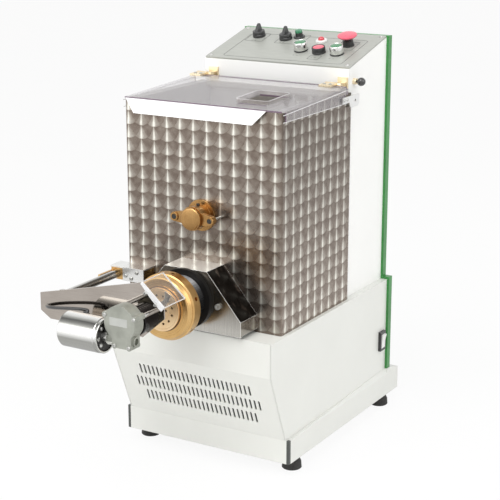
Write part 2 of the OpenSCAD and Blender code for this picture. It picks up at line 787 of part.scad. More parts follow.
// Motor and reducer on a saddle that stands on the tray's floor
module drive_motor() {
    floor_z = tray_z + sheet_t;
    motor_z = pinion_z - motor_drop;
    back = gear_y - 3;
    front = back - reducer_t;
    color([0.35, 0.38, 0.42]) difference() {
        union() {
            slab_y(front, back) {
                translate([0, pinion_z]) circle(reducer_neck_r);
                translate([0, motor_z]) circle(reducer_r);
                polygon([
                    [-reducer_neck_r, pinion_z], [reducer_neck_r, pinion_z], [reducer_r, motor_z],
                    [-reducer_r, motor_z]
                ]);
            }
            translate([0, 0, motor_z]) rod_y(motor_r, front, front - motor_l);
            for (a = [0:20:359]) translate([0, 0, motor_z]) rotate([0, a, 0])
                translate([motor_r - 2, front - motor_l + 7, -1.2]) cube([5, motor_l - 15, 2.4]);
            for (y = [front - motor_l + 22, back - saddle_d - 20]) translate([-saddle_w / 2, y, floor_z])
                cube([saddle_w, saddle_d, motor_z - floor_z - motor_r / 2]);
            translate([-motor_r, front - motor_l + 17, floor_z]) cube([2 * motor_r, motor_l + 35, 5]);
        }
        translate([0, 0, pinion_z]) rod_y(10 + fit, back - 40, back + 1);
    }
}
motor_drop = 72;
motor_r = 60;
motor_l = 160;
reducer_t = 62;
reducer_r = 52;
reducer_neck_r = 21;
saddle_w = 100;
saddle_d = 40;

// Folded stainless bracket that carries the barrel
module extruder_bracket() {
    color(steel) difference() {
        slab_y(-bracket_d, 0) bracket_outline(0);
        slab_y(-bracket_d + bracket_t, 1) bracket_outline(bracket_t);
        translate([-bracket_w, -bracket_d + bracket_t, bracket_z - 1])
            cube([2 * bracket_w, bracket_d, bracket_t + 1 + eps]);
        translate([0, 0, auger_z]) rod_y(barrel_d / 2 + fit, -bracket_d - 1, 1);
        for (s = [-1, 1]) translate([s * bolt_x, 0, bolt_z])
            rod_y(bolt_d / 4 + clear, -bracket_d - 1, -bracket_d + bracket_t + 1);
    }
}
bracket_z = cabinet_top + 5;
bracket_knee = bracket_z + 30;
bracket_top = auger_z + 57;
bolt_x = 72;
bolt_z = auger_z - 6;
bolt_d = 11;

module bracket_outline(inset) {
    polygon([
        [-bracket_w / 2 + inset, bracket_z + inset], [-bracket_w / 2 + inset, bracket_knee - inset / 2],
        [-bracket_top_w / 2 + inset / 2, bracket_top - inset],
        [bracket_top_w / 2 - inset / 2, bracket_top - inset],
        [bracket_w / 2 - inset, bracket_knee - inset / 2], [bracket_w / 2 - inset, bracket_z + inset]
    ]);
}

// Socket-head bolts of the bracket and of the mixer's front bearing
module socket_bolts() {
    color(zinc) {
        for (s = [-1, 1]) translate([s * bolt_x, -bracket_d, bolt_z]) socket_bolt(bolt_d, 5, 8);
        for (s = [-1, 1]) translate([s * ear_span / 2, -bearing_neck - ear_t + 4, mixer_z])
            socket_bolt(9, 3, bearing_neck + ear_t - 4);
    }
}

module flange_ring() {
    color(black) translate([0, 0, auger_z]) difference() {
        rod_y(flange_d / 2, -bracket_d, flange_y);
        rod_y(barrel_d / 2 + fit, -bracket_d + 1, flange_y - 1);
    }
}

thread_d = 100;
thread_l = 20;

// Extrusion barrel with its threaded head
module barrel() {
    color(steel) translate([0, 0, auger_z]) difference() {
        union() {
            rod_y(barrel_d / 2, tub_t, nut_back);
            rod_y(thread_d / 2, nut_back + 4, nut_back - thread_l + 4);
        }
        rod_y(barrel_bore / 2, tub_t + 1, nut_back - thread_l);
    }
}
head_face = nut_back - thread_l + 4;

// Bronze die with three rings of pasta holes
module die() {
    color(bronze) translate([0, 0, auger_z]) difference() {
        union() {
            rod_y(thread_d / 2 - 1, head_face, head_face - 6);
            rod_y(die_d / 2, head_face - 5, die_face);
        }
        for (ring = [0:1], i = [0:5 + ring * 6]) rotate([0, i * 360 / (6 + ring * 6) + ring * 15, 0])
            translate([13 + ring * 14, 0, 0]) rod_y(2.4, head_face + 1, die_face - 1);
        rod_y(3, head_face + 1, head_face - 10);
    }
}

// Ring nut with radial spanner holes
module ring_nut() {
    lip_y = head_face - 6 - fit;
    color(bronze) translate([0, 0, auger_z]) difference() {
        translate([0, nut_back, 0]) rotate([90, 0, 0]) rotate_extrude() polygon([
            [thread_d / 2 + fit, 0], [nut_d / 2 - 1.5, 0], [nut_d / 2, 1.5], [nut_d / 2, nut_t - 13],
            [nut_d / 2 - 1, nut_t - 12], [nut_d / 2 - 2.5, nut_t - 11], [nut_d / 2 - 2.5, nut_t - 9],
            [nut_d / 2 - 5, nut_t - 2], [nut_d / 2 - 7, nut_t], [die_d / 2 + clear, nut_t],
            [die_d / 2 + clear, nut_back - lip_y], [thread_d / 2 + fit, nut_back - lip_y]
        ]);
        for (a = [10:60:359]) rotate([0, a, 0]) translate([0, nut_back - 10, nut_d / 2 - 9])
            cylinder(d = 8, h = 12, $fn = 32);
    }
}

// ---------- lid ----------

feed_x = 87;
feed_y = 78;

module feed_hole(grow) {
    translate([feed_x, feed_y - feed_d / 2 - grow])
        round_rect(feed_w + 2 * grow, feed_d + 2 * grow, 6 + grow);
}

// Frame of the lid's sheet, which rises from the tub's front rim to the hinges
module on_lid() {
    translate([0, -lid_front, lid_z]) rotate([lid_tilt, 0, 0]) translate([0, lid_front, 0]) children();
}

// Section of the lid: a flat top with round shoulders and straight sides
module lid_section() {
    r = lid_bend;
    half = lid_w / 2;
    translate([-half, -3 * lid_flange]) square([2 * half, 3 * lid_flange + lid_t - r]);
    translate([-half + r, -1]) square([2 * half - 2 * r, lid_t + 1]);
    for (x = [-half + r, half - r]) translate([x, lid_t - r]) circle(r);
}

// Transparent lid with side flanges and a feed opening
module lid_sheet() {
    reach = lid_back + 60;
    color(clear_grey) difference() {
        on_lid() slab_y(-lid_front, lid_back) lid_section();
        on_lid() slab_y(-lid_front - 1, lid_back + 1) translate([lid_t - lid_w / 2, -lid_w])
            square([lid_w - 2 * lid_t, lid_w]);
        translate([-lid_w, -30, lid_z - lid_flange - lid_w]) cube([2 * lid_w, reach, lid_w]);
        for (y = [-30, lid_back - 10]) translate([-lid_w, y, lid_z - lid_w - 0.3])
            cube([2 * lid_w, 38, lid_w]);
        on_lid() translate([0, 0, -1]) linear_extrude(lid_t + 2) feed_hole(0);
        for (s = [-1, 1]) on_lid() corner_cut(s);
    }
}

// Takes the sharp front corner off the lid's sheet
module corner_cut(s) {
    r = 10;
    translate([s * (lid_w / 2 - r), -lid_front + r, -3]) difference() {
        translate([s > 0 ? 0 : -r - 1, -r - 1, 0]) cube([r + 1, r + 1, lid_t + 6]);
        translate([0, 0, -1]) cylinder(r = r, h = lid_t + 8);
    }
}

flap_x = -13;
flap_out = 9;
flap_taper = 24;

// Tilted front flap of the lid, narrower at its foot
module lid_flap() {
    top = lid_z + 1;
    low = top - flap_drop;
    half = flap_w / 2;
    color("white") translate([flap_x, -lid_front - 0.2, 0]) intersection() {
        slab_x(-half, half) polygon([
            [0, top], [0, lid_z], [-flap_out, low], [-flap_out - lid_t, low], [-lid_t, lid_z], [-lid_t, top]
        ]);
        slab_y(-flap_out - 2 * lid_t, 1) polygon([
            [-half, top], [half, top], [half - flap_taper, low], [flap_taper - half, low]
        ]);
    }
}

module feed_rim() {
    color(clear_grey) on_lid() translate([0, 0, lid_t]) linear_extrude(feed_rim_h) difference() {
        feed_hole(3);
        feed_hole(0);
    }
}

// Bronze hinge leaves on the lid, each with its knuckle
module lid_leaves() {
    color(bronze) for (x = hinge_x) translate([x, 0, 0]) difference() {
        union() {
            on_lid() translate([0, hinge_y - leaf_l, lid_t]) cube([leaf_w, leaf_l, leaf_t]);
            translate([0, hinge_y, hinge_z]) rod_x(hinge_r, 0, leaf_w);
        }
        translate([0, hinge_y, hinge_z]) rod_x(hinge_pin_d / 2 + fit, -1, leaf_w + 1);
    }
}

// Bronze ears on the column, with the pins that pass through the leaves
module hinge_brackets() {
    color(bronze) for (x = hinge_x) translate([x + leaf_w + clear, 0, 0]) union() {
        translate([0, hinge_y, hinge_z]) rod_x(hinge_r, 0, bracket_ear_w);
        translate([0, hinge_y, hinge_z - 4]) cube([bracket_ear_w, column_y - hinge_y, 8]);
        translate([-8, column_y - 4, hinge_z - 8]) cube([bracket_ear_w + 13, 4, 22]);
        translate([0, hinge_y, hinge_z]) rod_x(hinge_pin_d / 2, -leaf_w - clear - 1, bracket_ear_w);
    }
}

// Interlock tab on the lid's rear corner
module lid_tab() {
    x = lid_w / 2;
    top = lid_z - 4;
    color([0.85, 0.86, 0.88]) difference() {
        slab_x(x, x + 3) polygon([
            [lid_back - 24, top], [lid_back + 45, top], [lid_back + 45, top - 17], [lid_back + 39, top - 23],
            [lid_back + 8, top - 23], [lid_back + 2, top - 12], [lid_back - 24, top - 12]
        ]);
        translate([0, lid_back + 28, top - 11]) rod_x(3, x - 1, x + 4);
    }
}

module latch_bushing() {
    color(bronze) translate([column_half, latch_y, latch_z]) difference() {
        union() {
            rod_x(6, 0, 7);
            rod_x(4 - fit, -sheet_t - 6, 1);
        }
        rod_x(2.5 + fit, -20, 20);
    }
}

// Sprung plunger with a ball knob
module latch_plunger() {
    ball_x = latch_reach - ball_d / 2;
    color(black) translate([column_half, latch_y, latch_z]) union() {
        rod_x(2.5, -26, ball_x);
        translate([ball_x, 0, 0]) sphere(d = ball_d);
    }
}

// ---------- cutter arm ----------

module on_pivot() {
    translate([-pivot_side, 0, pivot_z]) children();
}

lug_front = -32;
lug_end = -5;
lug_x = [-pivot_side - 13, -pivot_side + 65];
cap_left = -pivot_side + 16;
wing_t = 5;
wing_front = -69;

// Steel cap of the hinge lug, screwed through its front
module arm_bracket() {
    w = lug_x[1] - lug_x[0];
    color(steel) difference() {
        union() {
            translate([cap_left, lug_front - 3, auger_z + 3]) cube([lug_x[1] - cap_left, 3, 24 + eps]);
            translate([lug_x[0], lug_front - 3, auger_z + 27]) cube([w, 3 - lug_front, 3]);
        }
        for (p = bracket_screw_spots) translate([p[0], 0, auger_z + p[1]])
            rod_y(2.2, lug_front - 4, lug_front + 1);
    }
}
bracket_screw_spots = [for (p = [[49, 22], [23, 13], [36, 9]]) [p[0] - pivot_side, p[1]]];

// Bronze lug bolted to the tub's front, with the bore of the pivot tube and a wing beside it
module hinge_lug() {
    color(bronze) difference() {
        union() {
            translate([lug_x[0], lug_front, auger_z + 3]) cube([lug_x[1] - lug_x[0], -lug_front, 24]);
            translate([lug_x[0] - wing_t, wing_front, auger_z + 3]) cube([wing_t + eps, -wing_front, 15]);
        }
        on_pivot() rod_y(pivot_d / 2 + fit, lug_front - 1, lug_end);
        for (p = bracket_screw_spots) translate([p[0], 0, auger_z + p[1]])
            rod_y(2.2, lug_front - 1, lug_front + 12);
    }
}

// Pivot tube with the collar that is welded to the arm's plate
module pivot_tube() {
    color(steel) on_pivot() difference() {
        union() {
            rod_y(pivot_d / 2, plate_back, lug_end - 1);
            rod_y(pivot_d / 2 + 4, plate_back, plate_back + 5);
        }
        rod_y(pivot_d / 2 - 2, plate_back - 1, lug_end);
    }
}

plate_right = 51;
plate_top = 68;
plate_low = -34;

// Polished arm plate between the pivot and the gearbox
module arm_plate() {
    color(steel) difference() {
        slab_y(plate_front, plate_back) polygon([
            [-pivot_side - plate_margin, auger_z - 20],
            [-pivot_side - plate_margin + 22, auger_z + plate_low], [4, auger_z + plate_low],
            [plate_right, auger_z + 7], [plate_right, auger_z + 27], [4, auger_z + plate_top],
            [-pivot_side - plate_margin, auger_z + 14]
        ]);
        translate([lead_hole[0], 0, lead_hole[2]]) rod_y(lead_r + clear, plate_front - 1, plate_back + 1);
        translate([0, 0, auger_z]) rod_y(hub_r + fit, plate_front - 1, plate_back + 1);
        on_guard() for (s = guard_screw_at) translate([guard_len * s, flange_mid, plate_front - 1])
            cylinder(d = 4.4, h = arm_t + 2);
    }
}
hub_r = 16;

standoff_spots = [[-10, 26], [26, 9], [-12, -36]];

module standoffs() {
    color(steel) for (p = standoff_spots) translate([p[0], 0, lobe_z + p[1]])
        rod_y(4.5, plate_front, gearbox_back);
}

// Round bearing housing of the knife's shaft
module knife_bearing() {
    color([0.30, 0.29, 0.29]) translate([0, 0, auger_z]) difference() {
        union() {
            translate([0, plate_front, 0]) rotate([90, 0, 0]) rotate_extrude() polygon([
                [0, 0], [25.5, 0], [25.5, 5], [23, 7], [16, 8], [14, 14], [0, 14]
            ]);
            rod_y(hub_r, plate_front + eps, plate_back + 8);
        }
        rod_y(knife_shaft_r + fit, plate_front - 20, plate_back + 20);
    }
}
knife_shaft_r = 6;

block_left = -17;
block_right = 24;
block_low = -45;
boss_r = 9;

// Pear-shaped gearbox outline: the lobe, the worm block and four screw lugs
module gearbox_outline() {
    a = 20;
    translate([0, lobe_z]) circle(lobe_r);
    translate([0, lobe_z]) polygon([
        [-lobe_r * cos(a), -lobe_r * sin(a)], [block_left, worm_z - lobe_z + 12], [block_left, block_low + 4],
        [block_left + 4, block_low], [block_right - 4, block_low], [block_right, block_low + 4],
        [block_right, worm_z - lobe_z + 12], [lobe_r * cos(a), -lobe_r * sin(a)]
    ]);
    for (p = gearbox_screw_spots) translate([p[0], lobe_z + p[1]]) circle(6);
}
gearbox_screw_spots = [[-31, 13], [31, 13], [-12, -41], [19, -41]];
cover_t = 4;

module gearbox_body() {
    color(zinc) difference() {
        union() {
            slab_y(gearbox_front + cover_t, gearbox_back) gearbox_outline();
            translate([0, worm_y, worm_z]) rod_x(boss_r, block_left - 13, block_right + 3);
        }
        translate([0, 0, auger_z]) rod_y(knife_shaft_r + fit, gearbox_back - 12, gearbox_back + 1);
        translate([0, worm_y, worm_z]) rod_x(6, block_right - 4, block_right + 4);
        for (p = gearbox_screw_spots) translate([p[0], 0, lobe_z + p[1]])
            rod_y(2.1, gearbox_front, gearbox_front + 14);
    }
}

module gearbox_cover() {
    color(zinc) difference() {
        slab_y(gearbox_front, gearbox_front + cover_t) gearbox_outline();
        for (p = gearbox_screw_spots) translate([p[0], 0, lobe_z + p[1]])
            rod_y(2.1, gearbox_front - 1, gearbox_front + cover_t + 1);
    }
}

// Screws of the gearbox cover and of the guard
module arm_screws() {
    color(zinc) {
        for (p = gearbox_screw_spots) translate([p[0], gearbox_front, lobe_z + p[1]])
            rotate([90, 0, 0]) pan_screw(8, 8);
        on_guard() for (s = guard_screw_at) translate([guard_len * s, flange_mid, plate_front - guard_t])
            rotate([180, 0, 0]) pan_screw(8, guard_t + arm_t);
    }
}

// Motor with its end bell; the nose meets the worm's boss
module cutter_motor() {
    r = cutter_d / 2;
    left = cutter_right - cutter_l;
    color([0.75, 0.75, 0.73]) translate([0, worm_y, worm_z]) union() {
        rotate([0, 90, 0]) translate([0, 0, left]) rotate_extrude() polygon([
            [0, 0], [r - 5, 0], [r - 2, 1], [r, 4], [r, cutter_l - 5], [r - 1.5, cutter_l - 4],
            [r - 1.5, cutter_l], [0, cutter_l]
        ]);
        rod_x(14, cutter_right - eps, block_left - 13);
        for (a = [0, 180]) rotate([a, 0, 0]) translate([0, r - 9, 0])
            rod_x(3.5, cutter_right - eps, cutter_right + 4);
        rotate([-45, 0, 0]) translate([lead_x, 0, r - 2]) cylinder(d = 11, h = 6);
    }
}
lead_x = -100;
lead_r = 3.2;

// Route of the motor's lead: out of the pivot tube's side, through the plate, to the motor's gland
lead_out = [-0.81, 0, -0.586];
lead_start = [-pivot_side, plate_back + 15, pivot_z] + (pivot_d / 2 + clear) * lead_out;
lead_hole = [-pivot_side - 32, (plate_front + plate_back) / 2, auger_z - 9];
gland_dir = [0, sin(45), cos(45)];
lead_end = [lead_x, worm_y, worm_z] + (cutter_d / 2 + 4 + clear) * gland_dir;
function bezier(p, t) = pow(1 - t, 3) * p[0] + 3 * t * pow(1 - t, 2) * p[1]
    + 3 * t * t * (1 - t) * p[2] + pow(t, 3) * p[3];
lead_back = [lead_start, lead_start + 14 * lead_out, lead_hole + [0, 14, 0], lead_hole];
lead_curve = [lead_hole, lead_hole + [0, -30, 0], lead_end + 12 * gland_dir, lead_end + 3 * gland_dir];
lead_points = concat(
    [for (i = [0:7]) bezier(lead_back, i / 8)], [for (i = [0:14]) bezier(lead_curve, i / 14)], [lead_end]
);

module motor_lead() {
    color(black) tube(lead_points, lead_r);
}

function unit(v) = v / norm(v);
function tangent(p, i) = unit(p[min(i + 1, len(p) - 1)] - p[max(i - 1, 0)]);

// A round tube of eight sides along a list of points
module tube(p, r) {
    n = len(p);
    rings = [for (i = [0:n - 1]) let (t = tangent(p, i), u = unit(cross(t, [0.2, 0.1, 1])), v = cross(t, u))
        [for (k = [0:7]) p[i] + r * (cos(k * 45) * u + sin(k * 45) * v)]];
    polyhedron(
        [for (ring = rings, q = ring) q],
        concat([[for (k = [7:-1:0]) k], [for (k = [0:7]) (n - 1) * 8 + k]],
               [for (i = [0:n - 2], k = [0:7])
                   let (a = i * 8 + k, b = i * 8 + (k + 1) % 8) [a, b, b + 8, a + 8]])
    );
}

// The guard follows the arm plate's sloping right shoulder
guard_run = plate_right - 4;
guard_fall = plate_top - 27;
guard_len = norm([guard_run, guard_fall]);
guard_angle = atan2(guard_fall, guard_run);
guard_depth = arm_gap + die_proud - 2;
flange_mid = 7;
guard_edge = 0.4;
guard_screw_at = [0.3, 0.75];

// Local frame of the guard: x down the shoulder, y inwards to the plate, z along the machine's Y
module on_guard() {
    translate([4, 0, auger_z + plate_top]) rotate([0, guard_angle, 0]) rotate([-90, 0, 0]) children();
}

// Transparent guard: a web beside the die and a flange screwed to the plate
module guard() {
    color(clear_grey) on_guard() difference() {
        union() {
            translate([0, -guard_t - guard_edge, plate_front - guard_t])
                cube([guard_len, guard_t, arm_t + guard_t + guard_depth]);
            translate([0, -guard_t - guard_edge, plate_front - guard_t])
                cube([guard_len, guard_t + guard_edge + 12, guard_t]);
        }
        for (s = guard_screw_at) translate([guard_len * s, flange_mid, plate_front - guard_t - 1])
            cylinder(d = 4.4, h = guard_t + 2);
    }
}

// Rotating knife: shaft, hub and two sickle blades
module knife() {
    blade_y = die_face - knife_gap;
    color([0.80, 0.80, 0.78]) translate([0, 0, auger_z]) union() {
        rod_y(knife_shaft_r, gearbox_back - 11, blade_y - 0.5);
        rod_y(11, blade_y - 14, blade_y - 2);
        slab_y(blade_y - 2, blade_y) for (a = [60, 240]) rotate(a) difference() {
            translate([0, -8]) square([knife_r, 15]);
            translate([knife_r * 0.62, 16]) circle(knife_r * 0.36);
        }
        slab_y(blade_y - 2, blade_y) circle(11);
    }
}

// ---------- controls ----------

// Body that a control is mounted on: its bezel above the plate and its threaded barrel below
module control_mount(d, h, bore) {
    difference() {
        union() {
            cylinder(d = d, h = h - 1);
            translate([0, 0, h - 1 - eps]) cylinder(d1 = d, d2 = d - 2, h = 1 + eps);
            translate([0, 0, -panel_t - 14]) cylinder(d = hole_d, h = panel_t + 14 + eps);
        }
        translate([0, 0, -panel_t - 13]) cylinder(d = bore, h = h + panel_t + 20);
    }
}

stem_d = 14;
cap_d = 20;
selector_h = 10;

module selector_bezels() {
    color(black) for (p = selector_spots) on_panel(p[0], p[1])
        control_mount(bezel_d - 2, selector_h - 4, stem_d + 2 * fit);
}

// Selector knob with its upright lever
module selector(p) {
    color(black) on_panel(p[0], p[1]) union() {
        translate([0, 0, -6]) cylinder(d = stem_d, h = 8 + selector_h - 4);
        translate([0, 0, selector_h - 4 + clear]) cylinder(d = bezel_d - 3, h = 5);
        intersection() {
            slab_x(-3, 3) polygon([
                [-9, selector_h], [-4, selector_h + 15], [4, selector_h + 17],
                [9, selector_h + 14], [12, selector_h]
            ]);
            cylinder(d = bezel_d - 3, h = selector_h + 20);
        }
    }
}

module selector_left() {
    selector(selector_spots[0]);
}

module selector_right() {
    selector(selector_spots[1]);
}

module button_bezels() {
    color([0.8, 0.8, 0.8]) for (i = [0:2]) on_panel(button_spots[i][0], button_spots[i][1])
        control_mount(bezel_d - 1, bezel_h[i], cap_d + 2 * fit);
}

// Push button i: a plug that slides in its bezel
module button(i, tint) {
    color(tint) on_panel(button_spots[i][0], button_spots[i][1]) union() {
        translate([0, 0, 4]) cylinder(d = cap_d, h = bezel_h[i] - 4);
        translate([0, 0, bezel_h[i] - eps]) cylinder(d1 = cap_d, d2 = cap_d - 2, h = 1);
        translate([0, 0, -6]) cylinder(d = 8, h = 11);
    }
}

module button_left() {
    button(0, green);
}

module button_middle() {
    button(1, [0.85, 0.2, 0.25]);
}

module button_right() {
    button(2, green);
}

stop_h = 12;

module stop_base() {
    color(black) on_panel(stop_spot[0], stop_spot[1]) union() {
        control_mount(hole_d, stop_h, stem_d + 2 * fit);
        difference() {
            cylinder(d = hole_d + 3, h = 3);
            translate([0, 0, -1]) cylinder(d = hole_d - 1, h = 5);
        }
    }
}

// Mushroom head of the emergency stop
module stop_head() {
    top_r = stop_head_d / 2;
    color([0.88, 0.25, 0.35]) on_panel(stop_spot[0], stop_spot[1]) union() {
        translate([0, 0, -8]) cylinder(d = stem_d, h = stop_h + button_travel + 10);
        translate([0, 0, stop_h + button_travel + 1]) rotate_extrude() polygon([
            [0, 0], [top_r - 9, 0], [top_r - 3, 2], [top_r, 5], [top_r - 1, 6.5], [top_r - 5, 8], [0, 9]
        ]);
    }
}

lamp_d = 15;
lamp_h = 15;

// Pilot lamps: a tall green cap on a black collar, and a small red cap in a white ring
module pilot_lamps() {
    on_panel(lamp_spots[0][0], lamp_spots[0][1]) {
        color(black) cylinder(d = hole_d + 2, h = 3);
        color(green) translate([0, 0, 2]) cylinder(d = lamp_d, h = lamp_h);
    }
    on_panel(lamp_spots[1][0], lamp_spots[1][1]) {
        color("white") cylinder(d = hole_d + 2, h = 4);
        color("red") translate([0, 0, 3]) cylinder(d1 = 13, d2 = 9, h = 7);
    }
    color(black) for (p = lamp_spots) on_panel(p[0], p[1])
        translate([0, 0, -panel_t - 10]) cylinder(d = hole_d, h = panel_t + 10 + eps);
}

// ---------- mains rocker ----------

rocker_y = rear_y - 23;
rocker_z = tray_top + 80;
rocker_out = 6;

module on_rocker() {
    translate([cabinet_w / 2, rocker_y, rocker_z]) children();
}

module rocker_frame() {
    color([0.25, 0.25, 0.26]) on_rocker() difference() {
        translate([0, -rocker_w / 2, -rocker_h / 2]) cube([rocker_out, rocker_w, rocker_h]);
        translate([1.5, -rocker_w / 2 + 4, -rocker_h / 2 + 5])
            cube([rocker_out, rocker_w - 8, rocker_h - 10]);
    }
}

rocker_tilt = 7;

// Rocker key, tipped about a pin across its middle
module rocker_key() {
    w = rocker_w - 8 - 2 * clear;
    h = rocker_h - 10 - 4 * clear;
    color("white") on_rocker() translate([4, 0, 0]) rotate([0, rocker_tilt, 0]) intersection() {
        slab_y(-w / 2, w / 2) polygon([[0, -h / 2], [4.5, -h / 2], [3, 0], [4.5, h / 2], [0, h / 2]]);
        slab_y(-w / 2, w / 2) circle(h / 2);
    }
}

placed() base_body();
placed() front_panel();
placed() foot_tray();
placed() corner_posts();
placed() rubber_feet();
placed() column_shell();
placed() control_plate();
placed() rear_cover();
placed() casing_screws();
placed() mains_gland();
placed() tub_casing();
placed() tub_tank();
placed() mixer_bearing();
placed() shaft_bearings();
placed() extruder_bracket();
placed() socket_bolts();
placed() flange_ring();
placed() barrel();
placed() die();
placed() ring_nut();
placed() lid_sheet();
placed() lid_flap();
placed() feed_rim();
placed() lid_leaves();
placed() lid_tab();
placed() hinge_brackets();
placed() latch_bushing();
placed() latch_plunger();
placed() mixing_shaft();
placed() mixer_knob();
placed() mixer_gear();
placed() auger();
placed() auger_gear();
placed() drive_pinion();
placed() drive_motor();
placed() arm_bracket();
placed() hinge_lug();
placed() pivot_tube();
placed() arm_plate();
placed() standoffs();
placed() knife_bearing();
placed() gearbox_body();
placed() gearbox_cover();
placed() arm_screws();
placed() cutter_motor();
placed() motor_lead();
placed() guard();
placed() knife();
placed() selector_bezels();
placed() selector_left();
placed() selector_right();
placed() button_bezels();
placed() button_left();
placed() button_middle();
placed() button_right();
placed() stop_base();
placed() stop_head();
placed() pilot_lamps();
placed() rocker_frame();
placed() rocker_key();
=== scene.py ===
"""Looks of a table-top electric pasta maker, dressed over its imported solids."""

import logging
import math
from dataclasses import dataclass
from enum import Enum
from typing import Iterable, Optional, Sequence

import bmesh
import bpy
from mathutils import Matrix, Vector


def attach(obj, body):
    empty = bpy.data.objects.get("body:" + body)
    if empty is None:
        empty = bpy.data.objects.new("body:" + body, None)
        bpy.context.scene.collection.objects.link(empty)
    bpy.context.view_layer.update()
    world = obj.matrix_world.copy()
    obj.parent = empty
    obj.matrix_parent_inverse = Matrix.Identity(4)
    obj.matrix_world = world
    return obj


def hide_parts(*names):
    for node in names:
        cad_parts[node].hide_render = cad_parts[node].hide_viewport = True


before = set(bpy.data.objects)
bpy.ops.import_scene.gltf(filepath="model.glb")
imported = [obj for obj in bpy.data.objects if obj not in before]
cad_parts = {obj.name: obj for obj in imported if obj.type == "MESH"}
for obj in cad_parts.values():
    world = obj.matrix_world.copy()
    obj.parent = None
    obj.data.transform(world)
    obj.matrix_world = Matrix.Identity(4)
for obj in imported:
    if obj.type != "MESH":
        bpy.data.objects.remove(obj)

LOG = logging.getLogger("pasta_maker")
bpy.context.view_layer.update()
MM = 0.001
MIDDLE = Vector((-18.44, 102.0, 0.0))
PLATE_TILT = math.radians(15)
PLATE_FRONT = Vector((0.0, 275.0, 753.0))
FILM = (0.02, 0.12)
EVEN = (1.0, 1.0, 1.0)

Triple = tuple[float, float, float]
Pair = tuple[float, float]
Outline = Sequence[Pair]
Mesh = bmesh.types.BMesh
Socket = bpy.types.NodeSocket


# ---------- places ----------


def at(x: float, y: float, z: float) -> Vector:
    """Gives a place of the machine in the row frame.

    Args:
        x: Millimetres from the tub's middle plane, towards the rocker's side.
        y: Millimetres behind the tub's front face.
        z: Millimetres over the floor.

    Returns:
        The same place in metres.
    """
    return (Vector((x, y, z)) - MIDDLE) * MM


def local(spot: Vector, turn: Matrix) -> Matrix:
    """Gives a frame in millimetres from its origin in the row frame and its turn."""
    return Matrix.Translation(spot) @ turn @ Matrix.Scale(MM, 4)


def facing(x: float, y: float, z: float, axis: str) -> Matrix:
    """Gives a local frame in millimetres whose Z looks along a machine axis.

    Args:
        x: Origin, across the machine.
        y: Origin, along the machine.
        z: Origin, upwards.
        axis: One of "-Y", "+X" and "+Z".

    Returns:
        A matrix from local millimetres to the row frame.
    """
    turns = {
        "-Y": Matrix.Rotation(math.radians(90), 4, "X"),
        "+X": Matrix.Rotation(math.radians(90), 4, "Y"),
        "+Z": Matrix.Identity(4),
    }
    return local(at(x, y, z), turns[axis])


def on_plate(x: float, s: float) -> Matrix:
    """Gives a local frame on the sloping control plate.

    Args:
        x: Millimetres across the plate from its middle.
        s: Millimetres up the slope from its front edge.

    Returns:
        A matrix whose Z is the plate's normal.
    """
    spot = PLATE_FRONT + Vector((x, s * math.cos(PLATE_TILT), s * math.sin(PLATE_TILT)))
    return local(at(*spot), Matrix.Rotation(PLATE_TILT, 4, "X"))


# ---------- finishes ----------


